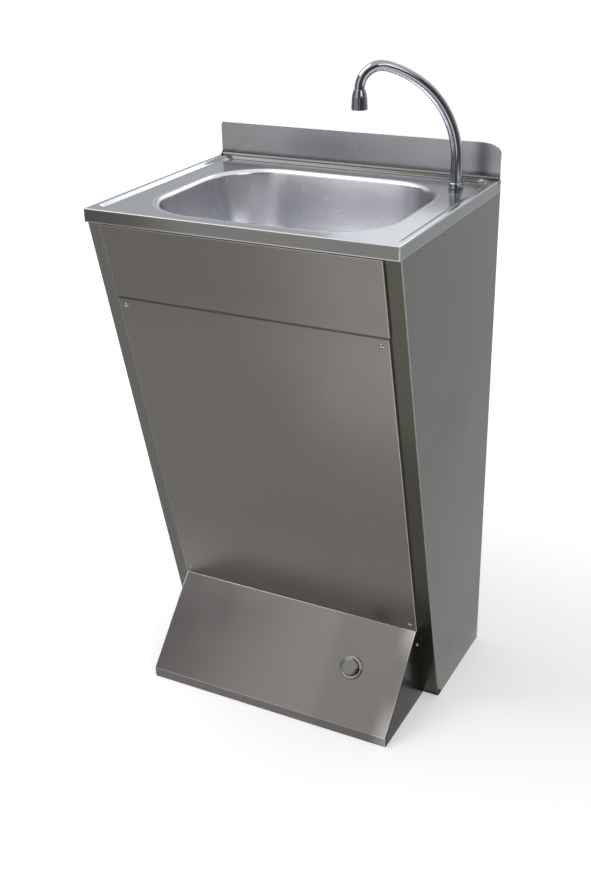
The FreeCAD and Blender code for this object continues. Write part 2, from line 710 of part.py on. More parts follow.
def front_fascia():
    """The fixed upper tray between the apron and the access panel."""
    top = up_slope(CABINET_TOP) - FASCIA_TOP_GAP
    return on_front(front_tray(FASCIA_WIDTH, up_slope(FASCIA_FOOT_HEIGHT), top))


def access_panel_span():
    """Foot and top of the access panel, up the slope."""
    toe_top = up_slope(TOE_TOP_HEIGHT) + TOE_PANEL_GAP
    return toe_top, up_slope(FASCIA_FOOT_HEIGHT) - PANEL_GAP


def access_screw_heights():
    """Heights of the access panel's screws, up the slope."""
    foot, top = access_panel_span()
    return foot + SCREW_RISE, top - SCREW_RISE


def access_panel():
    """The removable lower tray, with four screw holes."""
    foot, top = access_panel_span()
    tray = front_tray(ACCESS_PANEL_WIDTH, foot, top)
    for x, z in panel_screw_places():
        tray = tray.cut(moved(turned_to(screw_hole(), X_AXIS, 90), x, 0, z))
    return on_front(tray)


def panel_screw_places():
    """The four corners of the access panel where it is screwed: X, and the way up the slope."""
    x = ACCESS_PANEL_WIDTH / 2 - SCREW_INSET
    return [(side * x, z) for side in (-1, 1) for z in access_screw_heights()]


def panel_screws():
    """Four domed screws that hold the access panel on the side flanges."""
    one = screw(SCREW_HEAD_RADIUS, SCREW_HEAD_HEIGHT, SCREW_SHANK_RADIUS, SCREW_REACH)
    one = turned_to(one, X_AXIS, 90)
    return Part.Compound([on_front(moved(one, x, -TRAY_DEPTH, z)) for x, z in panel_screw_places()])


# ---- toe cover ----
def toe_cover():
    """Folded foot box: sloping plate, upright lip with a return, and a cheek at each side."""
    t = TOE_SHEET
    half = TOE_WIDTH / 2
    gap = LOOSE_FIT / cos(radians(FRONT_LEAN))
    slope_top, fold = (-TOE_TOP_REACH, TOE_TOP_HEIGHT), (-TOE_REACH, TOE_LIP)
    outline = [slope_top, fold, (-TOE_REACH, 0), (front_y(0) - gap, 0),
               (front_y(TOE_TOP_HEIGHT) - gap, TOE_TOP_HEIGHT)]
    beyond = TOE_REACH
    open_outline = [slope_top, fold, (-TOE_REACH, -beyond), (beyond, -beyond), (beyond, TOE_TOP_HEIGHT)]
    cover = prism_x(outline, -half, half)
    bends = []
    for edge in cover.Edges:
        b = edge.BoundBox
        across = b.XLength > 1 and b.ZMin > 1 and b.YMax < -TOE_TOP_REACH + 0.1
        down_side = b.XLength < 1 and b.YMax < -TOE_TOP_REACH + 0.1
        if across or down_side:
            bends.append(edge)
    cover = cover.makeFillet(TOE_BEND, bends)
    cover = cover.cut(offset_prism_x(open_outline, t, -half + t, half - t))
    cover = cover.fuse(box(-half + t, half - t, -TOE_REACH + t / 2, -TOE_REACH + TOE_RETURN, 0, t))
    cover = cover.cut(on_toe(rod(SLEEVE_RADIUS + LOOSE_FIT, -3 * t, 3 * t)))
    for side in (-1, 1):
        cover = cover.cut(on_cheek(screw_hole(), side))
    return cover.removeSplitter()


def on_cheek(shape, side):
    """Sets a shape made along Z, with z = 0 on the cheek's face, at one of the toe screws."""
    return on_front(moved(turned_to(shape, Y_AXIS, 90 * side),
                          side * TOE_WIDTH / 2, -LUG_REACH / 2, up_slope(LUG_CENTRE_HEIGHT)))


def toe_screws():
    """One screw through each cheek of the toe cover into the side panel's lug."""
    one = screw(TOE_SCREW_HEAD_RADIUS, SCREW_HEAD_HEIGHT, SCREW_SHANK_RADIUS, TOE_SCREW_REACH)
    return Part.Compound([on_cheek(one, side) for side in (-1, 1)])


# ---- rails of the open back ----
def rear_top_rail():
    """Upper cross rail inside the back flanges, with the two wall fixing holes."""
    t = RAIL_SHEET
    half = WIDTH / 2 - PANEL_SHEET - LOOSE_FIT
    face_y = BACK_Y - PANEL_SHEET
    top = CABINET_TOP - PANEL_SHEET
    foot = top - TOP_RAIL_HEIGHT
    rail = box(-half, half, face_y - TOP_RAIL_FLANGE, face_y, foot, top)
    rail = rail.cut(box(-half - 1, half + 1, face_y - TOP_RAIL_FLANGE - 1, face_y - t, foot + t, top - t))
    hole = rod(FIXING_RADIUS, -2 * t, 2 * t)
    for side in (-1, 1):
        rail = rail.cut(along_y(hole, side * FIXING_SPACING / 2, face_y, foot + TOP_RAIL_HEIGHT / 2))
    return rail


def low_rail_web_y():
    """Y of the low rail's web, set in from the back so that the inlet stays inside."""
    return BACK_Y - PANEL_SHEET - LOW_RAIL_SETBACK


def inlet_z():
    """Height of the water inlet, level with the valve's inlet port."""
    return toe_point(0, INLET_PORT_DEPTH).z


def rear_bottom_rail():
    """Lower channel between the sides, flanges to the back, pierced for the inlet."""
    t = RAIL_SHEET
    half = WIDTH / 2 - PANEL_SHEET - LOOSE_FIT
    web_y, back = low_rail_web_y(), BACK_Y - PANEL_SHEET
    top = LOW_RAIL_FOOT + LOW_RAIL_HEIGHT
    rail = box(-half, half, web_y, back, LOW_RAIL_FOOT, top)
    rail = rail.cut(box(-half - 1, half + 1, web_y + t, back + 1, LOW_RAIL_FOOT + t, top - t))
    hole = along_y(rod(BULKHEAD_THREAD_RADIUS + LOOSE_FIT, -2 * t, 3 * t), INLET_X, web_y, inlet_z())
    return rail.cut(hole)


# ---- tap, fixed pieces ----
def tap_base():
    """Collar on the deck with a threaded shank below and a smooth bore for the spout's tail."""
    foot, top = TAP_GASKET, COLLAR_TOP
    outside = turned([(0, -SHANK_DROP), (SHANK_RADIUS, -SHANK_DROP), (SHANK_RADIUS, foot),
                      (COLLAR_RADIUS, foot), (COLLAR_RADIUS, top - COLLAR_BEVEL),
                      (COLLAR_RADIUS - COLLAR_BEVEL, top), (0, top)])
    bore = rod(TAIL_RADIUS + RUNNING_FIT, top - TAIL_LENGTH - TAIL_SUMP, top + 1)
    waterway = rod(RISER_PIPE_RADIUS - PIPE_WALL, -SHANK_DROP - 1, top)
    screw_way = set_screw_bar(SET_SCREW_RADIUS + SCREW_FIT, COLLAR_RADIUS + 1)
    return on_tap(outside.cut([bore, waterway, screw_way]))


def set_screw_bar(radius, outer_end):
    """A round bar on the wall side of the collar, from the tail's groove outwards."""
    bar = turned_to(rod(radius, TAIL_RADIUS - SET_SCREW_ENTRY, outer_end), X_AXIS, -90)
    return moved(bar, z=TAP_GASKET + SET_SCREW_RISE)


def spout_set_screw():
    """Set screw whose tip stands in the tail's groove and keeps the spout from lifting."""
    return on_tap(set_screw_bar(SET_SCREW_RADIUS, COLLAR_RADIUS - SET_SCREW_RECESS))


def tap_gasket():
    """Rubber ring between the collar and the deck."""
    return on_tap(ring(COLLAR_RADIUS - LOOSE_FIT, SHANK_RADIUS + LOOSE_FIT, 0, TAP_GASKET))


def tap_back_washer():
    """Wide steel washer under the deck."""
    return on_tap(ring(2 * SHANK_RADIUS, SHANK_RADIUS + SCREW_FIT, -TOP_SHEET - TAP_WASHER, -TOP_SHEET))


def tap_back_nut():
    """Hexagonal nut that clamps the tap to the deck."""
    top = -TOP_SHEET - TAP_WASHER
    return on_tap(hex_nut(TAP_NUT_FLATS, SHANK_RADIUS, top - TAP_NUT_HEIGHT, top))


def tap_tail_nut():
    """Union nut that joins the riser pipe to the tap's shank."""
    nut = union_nut(TAP_TAIL_NUT_FLATS, SHANK_RADIUS, RISER_PIPE_RADIUS + SCREW_FIT, UNION_NUT_LENGTH)
    return on_tap(moved(turned_to(nut, X_AXIS, 180), z=-SHANK_DROP + UNION_NUT_LENGTH - UNION_NUT_LIP))


# ---- tap, turning pieces ----
def spout_foot():
    """Height of the spout's shoulder above the deck."""
    return COLLAR_TOP + LOOSE_FIT


def spout_path():
    """Centre line of the swan neck: a riser, a wide sweep, a tight crook and a short drop."""
    z0 = spout_foot() + SPOUT_RISER
    sweep, crook = SPOUT_SWEEP_RADIUS, SPOUT_CROOK_RADIUS
    turn = radians(SPOUT_SWEEP_TURN)

    def on_sweep(angle):
        return Vec(sweep * (1 - cos(angle)), 0, z0 + sweep * sin(angle))

    join = on_sweep(turn)
    centre = join + Vec(cos(turn), 0, -sin(turn)) * crook

    def on_crook(angle):
        return centre + Vec(-cos(angle), 0, sin(angle)) * crook

    end = on_crook(pi)
    return Part.Wire([
        Part.makeLine(Vec(0, 0, spout_foot()), Vec(0, 0, z0)),
        Part.Arc(Vec(0, 0, z0), on_sweep(turn / 2), join).toShape(),
        Part.Arc(join, on_crook((turn + pi) / 2), end).toShape(),
        Part.makeLine(end, end - Vec(0, 0, SPOUT_OUTLET_RUN))])


def spout_end():
    """Where the spout's centre line ends."""
    last = spout_path().Edges[-1]
    return last.valueAt(last.LastParameter)


def o_ring_heights():
    """Heights of the two sealing rings on the tail."""
    tail_foot = COLLAR_TOP - TAIL_LENGTH
    return [tail_foot + rise for rise in O_RING_RISES]


def groove(depth, half_width, z):
    """The ring that cuts a square groove in the tail."""
    return ring(TAIL_RADIUS + 1, TAIL_RADIUS - depth, z - half_width, z + half_width)


def spout():
    """Swan neck tube, tapering to its outlet, with a grooved tail that turns in the base."""
    path = spout_path()
    tail_foot = COLLAR_TOP - TAIL_LENGTH
    tail = rod(TAIL_RADIUS, tail_foot, spout_foot())
    grooves = [groove(O_RING_GROOVE_DEPTH, O_RING_GROOVE_HALF, z) for z in o_ring_heights()]
    grooves.append(groove(SET_GROOVE_DEPTH, SET_GROOVE_HALF, TAP_GASKET + SET_SCREW_RISE))
    tube = swept_rod(path, SPOUT_BASE_RADIUS, SPOUT_TIP_RADIUS).fuse(tail.cut(grooves))
    bore = swept_rod(path, SPOUT_BORE_RADIUS)
    tail_bore = rod(TAIL_RADIUS - TAIL_WALL, tail_foot - 1, spout_foot() + 1)
    return on_spout(tube.cut(bore).cut(tail_bore).removeSplitter())


def spout_o_rings():
    """Two rubber rings that seal the turning tail."""
    one = Part.makeTorus(TAIL_RADIUS - O_RING_WIRE_RADIUS, O_RING_WIRE_RADIUS)
    return Part.Compound([on_tap(moved(one, z=z)) for z in o_ring_heights()])


def on_outlet(shape):
    """Sets a shape made round Z, with z = 0 at the tube's end, on the spout's outlet."""
    end = spout_end()
    return on_spout(moved(shape, end.x, 0, end.z))


def spout_ferrule():
    """Flared collar brazed on the outlet, with the spigot that the aerator screws on."""
    bore, rim = SPOUT_BORE_RADIUS, AERATOR_TOP_RADIUS
    grip, spigot = SPOUT_TIP_RADIUS + SCREW_FIT / 2, rim - AERATOR_WALL
    body = turned([(bore, -SPIGOT_LENGTH), (spigot, -SPIGOT_LENGTH), (spigot, 0), (rim, 0),
                   (rim, FERRULE_RIM), (SPOUT_TIP_RADIUS + FERRULE_LIP, FERRULE_HEIGHT),
                   (grip, FERRULE_HEIGHT), (grip, 0), (bore, 0)])
    return on_outlet(body)


def aerator_housing():
    """Fluted sleeve that screws on the spigot and holds the aerator insert."""
    top, foot = AERATOR_TOP_RADIUS, AERATOR_FOOT_RADIUS
    inner, low = top - AERATOR_WALL, -AERATOR_HEIGHT
    mouth = inner - AERATOR_LIP
    sleeve = turned([(inner, 0), (top, 0), (foot, low + AERATOR_EDGE), (foot - AERATOR_EDGE, low),
                     (mouth, low), (mouth, low + AERATOR_LIP_HEIGHT), (inner, low + AERATOR_LIP_HEIGHT)])
    lean = degrees(atan2(foot - top, AERATOR_HEIGHT))
    flute = turned_to(rod(FLUTE_RADIUS, low + FLUTE_MARGIN, -FLUTE_MARGIN), Y_AXIS, -lean)
    flute = moved(flute, x=top + FLUTE_RADIUS - FLUTE_DEPTH)
    flutes = [turned_to(flute, Z_AXIS, k * 360.0 / AERATOR_FLUTES) for k in range(AERATOR_FLUTES)]
    return on_outlet(sleeve.cut(flutes))


def aerator_insert():
    """Pierced disc that breaks the jet: one hole in the middle and two rings of holes."""
    radius = AERATOR_TOP_RADIUS - AERATOR_WALL - RUNNING_FIT
    foot = -AERATOR_HEIGHT + AERATOR_LIP_HEIGHT
    disc = rod(radius, foot, -SPIGOT_LENGTH - LOOSE_FIT)
    return on_outlet(disc.cut(ringed_holes(JET_HOLE_RINGS, JET_HOLE_RADIUS, foot - 1, 0)))


# ---- foot button and its valve ----
def valve_body():
    """Turned body behind the toe plate: front sleeve, spring chamber, seat and two side ports."""
    t = TOE_SHEET
    shoulder_foot, mouth = -t - VALVE_SHOULDER, BEZEL_HEIGHT - SLEEVE_SETBACK
    body = turned([(0, VALVE_END), (VALVE_RADIUS - VALVE_EDGE, VALVE_END),
                   (VALVE_RADIUS, VALVE_END + VALVE_EDGE), (VALVE_RADIUS, shoulder_foot),
                   (BEZEL_RADIUS, shoulder_foot), (BEZEL_RADIUS, -t), (SLEEVE_RADIUS, -t),
                   (SLEEVE_RADIUS, mouth), (0, mouth)])
    body = body.fuse(ports(HALF_INCH_THREAD_RADIUS, PORT_REACH))
    guide_foot = -SPRING_SHELF - GUIDE_LENGTH
    sleeve = rod(BUTTON_RADIUS + BUTTON_GAP, -SPRING_SHELF, BEZEL_HEIGHT)
    guide = rod(GUIDE_RADIUS, guide_foot, -SPRING_SHELF + 1)
    upper = rod(CHAMBER_RADIUS, -SEAT_DEPTH + SEAT_WALL, guide_foot)
    lower = rod(CHAMBER_RADIUS, VALVE_END + VALVE_END_WALL, -SEAT_DEPTH)
    seat = rod(SPINDLE_RADIUS + SEAT_GAP, -SEAT_DEPTH - 1, -SEAT_DEPTH + SEAT_WALL + 1)
    return on_toe(body.cut([sleeve, guide, upper, lower, seat] + ports(WATERWAY_RADIUS, PORT_REACH + 1)))


def ports(radius, reach):
    """Two round bars from the valve's axis: the outlet to the right, the deeper inlet to the left."""
    outlet = moved(turned_to(rod(radius, 0, reach), Y_AXIS, 90), z=-OUTLET_PORT_DEPTH)
    inlet = moved(turned_to(rod(radius, 0, reach), Y_AXIS, -90), z=-INLET_PORT_DEPTH)
    return [outlet, inlet]


def valve_bush():
    """Guide bush of the spindle."""
    bore = SPINDLE_RADIUS + RUNNING_FIT
    return on_toe(ring(GUIDE_RADIUS, bore, -SPRING_SHELF - GUIDE_LENGTH, -SPRING_SHELF))


def button_bezel():
    """Rounded ring nut screwed on the sleeve in front of the toe plate."""
    disc = rod(BEZEL_RADIUS, 0, BEZEL_HEIGHT)
    disc = disc.makeFillet(BEZEL_EDGE, edges_at_height(disc, BEZEL_HEIGHT))
    return on_toe(disc.cut(rod(SLEEVE_RADIUS, -1, BEZEL_HEIGHT + 1)))


def button_cap():
    """The push button: a rounded cap with a skirt in the sleeve and a boss for the spindle."""
    cap = rod(BUTTON_RADIUS, -CAP_SKIRT, BUTTON_PROUD)
    cap = cap.makeFillet(CAP_EDGE, edges_at_height(cap, BUTTON_PROUD))
    ceiling = BUTTON_PROUD - CAP_FACE
    cap = cap.cut(rod(BUTTON_RADIUS - CAP_WALL, -CAP_SKIRT - 1, ceiling))
    return on_toe(cap.fuse(ring(BOSS_RADIUS, STUD_RADIUS, BOSS_FOOT, ceiling)).removeSplitter())


def valve_spindle():
    """Stem from the button to the seal, stepped to seat in the cap's boss."""
    foot, stud_top = SEAL_TOP - SEAL_THICKNESS, BUTTON_PROUD - CAP_FACE - STUD_END_GAP
    return on_toe(turned([(0, foot), (STUD_RADIUS, foot), (STUD_RADIUS, SEAL_TOP),
                          (SPINDLE_RADIUS, SEAL_TOP), (SPINDLE_RADIUS, BOSS_FOOT), (STUD_RADIUS, BOSS_FOOT), (STUD_RADIUS, stud_top),
                          (0, stud_top)]))


def valve_seal():
    """Rubber disc on the stem that closes against the seat from below."""
    return on_toe(ring(SEAL_RADIUS, STUD_RADIUS, SEAL_TOP - SEAL_THICKNESS, SEAL_TOP))


def valve_spring():
    """Compression spring between the shelf of the body and the underside of the cap."""
    foot = -SPRING_SHELF + SPRING_WIRE_RADIUS + LOOSE_FIT
    top = BUTTON_PROUD - CAP_FACE - SPRING_WIRE_RADIUS - LOOSE_FIT
    height = top - foot
    steps = 4 * SPRING_TURNS

    def at(turn):
        angle, rise = 2 * pi * turn, height * turn / SPRING_TURNS
        return Vec(SPRING_RADIUS * cos(angle), SPRING_RADIUS * sin(angle), foot + rise)

    arcs = [Part.Arc(at(k / 4), at((k + 0.5) / 4), at((k + 1) / 4)).toShape() for k in range(steps)]
    return on_toe(swept_rod(Part.Wire(arcs), SPRING_WIRE_RADIUS))


# ---- water pipes ----
def outlet_port():
    """Mouth of the valve's outlet."""
    return toe_point(PORT_REACH, OUTLET_PORT_DEPTH)


def inlet_port():
    """Mouth of the valve's inlet."""
    return toe_point(-PORT_REACH, INLET_PORT_DEPTH)


def riser_pipe():
    """Bent pipe from the valve's outlet up to the tap's shank."""
    start = outlet_port()
    top = DECK_Z - SHANK_DROP
    corner = Vec(TAP_X, start.y, start.z)
    foot = Vec(TAP_X, TAP_Y, start.z)
    return pipe([start, corner, foot, Vec(TAP_X, TAP_Y, top)], PIPE_BEND, RISER_PIPE_RADIUS, PIPE_WALL)


def inlet_pipe():
    """Bent pipe from the inlet connector to the valve."""
    start = inlet_port()
    corner = Vec(INLET_X, start.y, start.z)
    end = Vec(INLET_X, low_rail_web_y() - CONNECTOR_SHOULDER - STUB_LENGTH, start.z)
    return pipe([start, corner, end], PIPE_BEND, INLET_PIPE_RADIUS, PIPE_WALL)


def port_nut(pipe_radius):
    """Union nut of a valve port, with its threaded mouth at z = 0."""
    return union_nut(PORT_NUT_FLATS, HALF_INCH_THREAD_RADIUS, pipe_radius + SCREW_FIT, PORT_NUT_LENGTH)


def valve_outlet_nut():
    """Union nut on the valve's outlet."""
    place = outlet_port()
    nut = turned_to(port_nut(RISER_PIPE_RADIUS), Y_AXIS, 90)
    return moved(nut, place.x - PORT_NUT_GRIP, place.y, place.z)


def valve_inlet_nut():
    """Union nut on the valve's inlet."""
    place = inlet_port()
    nut = turned_to(port_nut(INLET_PIPE_RADIUS), Y_AXIS, -90)
    return moved(nut, place.x + PORT_NUT_GRIP, place.y, place.z)


def on_inlet(shape):
    """Sets a shape made along Z, with z = 0 on the rail's inner face, on the inlet's axis."""
    return along_y(shape, INLET_X, low_rail_web_y(), inlet_z())


def inlet_connector():
    """Bulkhead fitting of the low rail: stub and shoulder inside, threaded nipple towards the wall."""
    shoulder_foot = -CONNECTOR_SHOULDER
    stub_foot = shoulder_foot - STUB_LENGTH
    step = RAIL_SHEET + LOCK_NUT_HEIGHT + THREAD_LEAD
    end = step + INLET_NIPPLE
    thread = HALF_INCH_THREAD_RADIUS
    body = turned([(0, stub_foot), (STUB_THREAD_RADIUS, stub_foot), (STUB_THREAD_RADIUS, shoulder_foot),
                   (CONNECTOR_SHOULDER_RADIUS, shoulder_foot), (CONNECTOR_SHOULDER_RADIUS, 0),
                   (BULKHEAD_THREAD_RADIUS, 0), (BULKHEAD_THREAD_RADIUS, step), (thread, step),
                   (thread, end), (thread - THREAD_LEAD, end + THREAD_LEAD), (0, end + THREAD_LEAD)])
    return on_inlet(body.cut(rod(CONNECTOR_BORE_RADIUS, stub_foot - 1, end + THREAD_LEAD + 1)))


def inlet_lock_nut():
    """Thin nut that clamps the connector to the rail."""
    back = RAIL_SHEET + LOCK_NUT_HEIGHT
    return on_inlet(hex_nut(LOCK_NUT_FLATS, BULKHEAD_THREAD_RADIUS, RAIL_SHEET, back))


def inlet_union_nut():
    """Union nut that joins the inlet pipe to the connector's stub."""
    nut = union_nut(STUB_NUT_FLATS, STUB_THREAD_RADIUS, INLET_PIPE_RADIUS + SCREW_FIT, STUB_NUT_LENGTH)
    return on_inlet(moved(turned_to(nut, X_AXIS, 180), z=-CONNECTOR_SHOULDER - SCREW_FIT))


# ---- waste and bottle trap ----
def waste_gasket_upper():
    """Rubber ring between the grid and the drain's seat."""
    return on_drain(ring(GASKET_RADIUS, DRAIN_HOLE_RADIUS, 0, GASKET_THICKNESS))


def waste_gasket_lower():
    """Rubber ring between the bowl's underside and the waste body."""
    return on_drain(ring(GASKET_RADIUS, DRAIN_HOLE_RADIUS, WASTE_TOP, -TOP_SHEET))


def waste_grid():
    """Dished drain grid with a rounded flange, a short neck and two rings of round holes."""
    seat = GASKET_THICKNESS
    dish, rim = seat + GRID_SHEET, seat + GRID_RISE
    neck = DRAIN_HOLE_RADIUS - GRID_NECK_GAP
    inner = neck - GRID_NECK_WALL
    grid = turned([(0, seat), (inner, seat), (inner, -GRID_NECK), (neck, -GRID_NECK), (neck, seat),
                   (GRID_RADIUS, seat), (GRID_RADIUS, seat + GRID_EDGE), (GRID_RADIUS - GRID_RISE, rim),
                   (neck, rim), (inner - GRID_SHEET, dish), (0, dish)])
    holes = ringed_holes(GRID_HOLE_RINGS, GRID_HOLE_RADIUS, -1, rim + 1)
    return on_drain(grid.cut(holes + [rod(WASTE_SCREW_RADIUS + SCREW_FIT, -1, rim + 1)]))


def waste_screw():
    """Centre screw that draws the grid and the waste body together."""
    one = screw(WASTE_SCREW_HEAD_RADIUS, WASTE_SCREW_HEAD_HEIGHT, WASTE_SCREW_RADIUS, WASTE_SCREW_REACH)
    return on_drain(moved(one, z=GASKET_THICKNESS + GRID_SHEET))


def waste_body():
    """Cup under the bowl with a three-armed boss for the screw and a threaded tail."""
    top, thread, bore = WASTE_TOP, WASTE_THREAD_RADIUS, WASTE_TAIL_RADIUS - WASTE_WALL
    mouth, floor = DRAIN_HOLE_RADIUS - WASTE_WALL, top - WASTE_CUP_DEPTH
    arm_top = floor - WASTE_CUP_TAPER
    cup = turned([(bore, WASTE_FOOT), (thread, WASTE_FOOT), (thread, top - WASTE_TAPER_FOOT),
                  (WASTE_CUP_RADIUS, top - WASTE_CUP_RIM), (WASTE_CUP_RADIUS, top), (mouth, top),
                  (mouth, floor), (bore, arm_top)])
    arm_foot = arm_top - ARM_HEIGHT
    boss = rod(2 * WASTE_SCREW_RADIUS, arm_foot, floor)
    arm = box(0, bore + WASTE_WALL, -ARM_HALF_WIDTH, ARM_HALF_WIDTH, arm_foot, arm_top)
    body = cup.fuse([boss] + [turned_to(arm, Z_AXIS, k * 120) for k in range(3)])
    return on_drain(body.cut(rod(WASTE_SCREW_RADIUS, arm_foot - 1, top)))


def ribbed_ring(radius, z0, z1, count):
    """Grip ribs round a moulded nut or cup."""
    at = [2 * pi * k / count for k in range(count)]
    return [rod(GRIP_RIB_RADIUS, z0, z1, radius * cos(angle), radius * sin(angle)) for angle in at]


def ribbed_nut(bore, neck_bore):
    """A plastic ring nut: threaded bore from z = 0, a lip at the far end and grip ribs outside."""
    outer, height = bore + RING_NUT_WALL, RING_NUT_HEIGHT
    nut = rod(outer, 0, height).fuse(ribbed_ring(outer, GRIP_RIB_MARGIN, height, RING_NUT_RIBS))
    return nut.cut([rod(bore, -1, height - RING_NUT_LIP), rod(neck_bore, -1, height + 1)]).removeSplitter()


def trap_top_nut():
    """Nut that hangs the trap's tube on the waste body."""
    nut = ribbed_nut(WASTE_THREAD_RADIUS, TRAP_TUBE_RADIUS + SCREW_FIT)
    lip_face = RING_NUT_HEIGHT - RING_NUT_LIP - TRAP_TUBE_FLANGE
    return on_drain(moved(turned_to(nut, X_AXIS, 180), z=WASTE_FOOT + lip_face))


def trap_tube():
    """Dip tube with a flange that seals on the waste body."""
    top, r, bore = WASTE_FOOT, TRAP_TUBE_RADIUS, TRAP_TUBE_RADIUS - TRAP_TUBE_WALL
    flange = WASTE_THREAD_RADIUS - WASTE_WALL
    foot = top - TRAP_TUBE_LENGTH
    return on_drain(turned([(bore, top), (flange, top), (flange, top - TRAP_TUBE_FLANGE),
                            (r, top - TRAP_TUBE_FLANGE), (r, foot), (bore, foot)]))


def trap_head():
    """Body of the bottle trap: neck round the dip tube, wide threaded skirt and a side outlet."""
    mid, outer, neck = TRAP_OUTLET, TRAP_CUP_RADIUS, TRAP_TUBE_RADIUS + TRAP_NECK_WALL
    skirt_top, cone_foot = mid - TRAP_HEAD_DROP, mid + TRAP_HEAD_RISE
    cone_top, top = cone_foot + TRAP_CONE, cone_foot + TRAP_CONE + TRAP_NECK
    foot, skirt = skirt_top - TRAP_SKIRT, outer - TRAP_CUP_WALL
    inner, tube_way = skirt - TRAP_WALL, TRAP_TUBE_RADIUS + SCREW_FIT
    outside = turned([(0, foot), (skirt, foot), (skirt, skirt_top), (outer, skirt_top), (outer, cone_foot),
                      (neck, cone_top), (neck, top), (0, top)])
    inside = turned([(0, foot - 1), (inner, foot - 1), (inner, cone_foot),
                     (tube_way, cone_top - TRAP_CUP_WALL), (tube_way, top + 1), (0, top + 1)])
    branch = moved(turned_to(rod(WASTE_THREAD_RADIUS, 0, TRAP_BRANCH), X_AXIS, -90), z=mid)
    bore = moved(turned_to(rod(WASTE_TAIL_RADIUS, 0, TRAP_BRANCH + 1), X_AXIS, -90), z=mid)
    return on_drain(outside.fuse(branch).cut([inside, bore]).removeSplitter())


def trap_tube_nut():
    """Nut that seals the dip tube in the trap's neck."""
    nut = ribbed_nut(TRAP_TUBE_RADIUS + TRAP_NECK_WALL, TRAP_TUBE_RADIUS + SCREW_FIT)
    return on_drain(moved(nut, z=TRAP_OUTLET + TRAP_HEAD_RISE + TRAP_CONE))


def trap_cup():
    """Removable cup of the bottle trap, rounded at its foot, with a ribbed ring at its mouth."""
    outer, wall, top = TRAP_CUP_RADIUS, TRAP_CUP_WALL, TRAP_OUTLET - TRAP_HEAD_DROP
    foot, thread_foot = top - TRAP_CUP_HEIGHT, top - TRAP_CUP_THREAD
    cup = rod(outer, foot, top)
    cup = cup.makeFillet(TRAP_CUP_FILLET, edges_at_height(cup, foot))
    inside = rod(outer - wall - TRAP_CUP_THREAD_DEPTH, foot + wall, top)
    inside = inside.makeFillet(TRAP_CUP_FILLET, edges_at_height(inside, foot + wall))
    mouth = rod(outer - wall, thread_foot, top + 1)
    ribs = ribbed_ring(outer, thread_foot + GRIP_RIB_MARGIN, top - GRIP_RIB_MARGIN, TRAP_CUP_RIBS)
    return on_drain(cup.fuse(ribs).cut([inside, mouth]).removeSplitter())


def trap_outlet_nut():
    """Nut that holds the outlet pipe in the trap's branch."""
    nut = ribbed_nut(WASTE_THREAD_RADIUS, OUTLET_PIPE_RADIUS + SCREW_FIT)
    start = BOWL_Y + TRAP_BRANCH - RING_NUT_HEIGHT + RING_NUT_LIP
    return along_y(nut, 0, start, SEAT_Z + TRAP_OUTLET)


def outlet_pipe():
    """Straight waste pipe to the back of the cabinet, with a stop bead behind the trap's nut."""
    start = BOWL_Y + TRAP_BRANCH
    length = BACK_Y - OUTLET_PIPE_CLEAR - start
    bead_foot = RING_NUT_LIP + OUTLET_BEAD_GAP
    tube = rod(OUTLET_PIPE_RADIUS, 0, length)
    tube = tube.fuse(rod(OUTLET_BEAD_RADIUS, bead_foot, bead_foot + OUTLET_BEAD_WIDTH))
    tube = tube.cut(rod(OUTLET_PIPE_RADIUS - OUTLET_PIPE_WALL, -1, length + 1))
    return along_y(tube, 0, start, SEAT_Z + TRAP_OUTLET)


PARTS = [
    worktop, bowl, side_panel_left, side_panel_right, rear_top_rail, rear_bottom_rail,
    front_fascia, access_panel, panel_screws, toe_cover, toe_screws,
    tap_base, spout_set_screw, tap_gasket, tap_back_washer, tap_back_nut, tap_tail_nut,
    spout, spout_o_rings, spout_ferrule, aerator_housing, aerator_insert,
    valve_body, valve_bush, button_bezel, button_cap, valve_spindle, valve_seal, valve_spring,
    riser_pipe, inlet_pipe, valve_outlet_nut, valve_inlet_nut,
    inlet_connector, inlet_lock_nut, inlet_union_nut,
    waste_gasket_upper, waste_gasket_lower, waste_grid, waste_screw, waste_body,
    trap_top_nut, trap_tube, trap_head, trap_tube_nut, trap_cup, trap_outlet_nut, outlet_pipe,
]


os.makedirs("parts", exist_ok=True)
for make in PARTS:
    solid = make()
    solid.exportStep("parts/" + make.__name__ + ".step")
    print(make.__name__, len(solid.Solids), "solids", round(solid.Volume, 1), "mm3, valid:", solid.isValid())
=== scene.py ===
"""Looks of a stainless steel hand wash sink: its sheet metal, tap, foot button, trap, finishes and light."""

import json
from math import atan2, cos, pi, radians, sin

import bmesh
import bpy
import numpy as np
from mathutils import Matrix, Vector


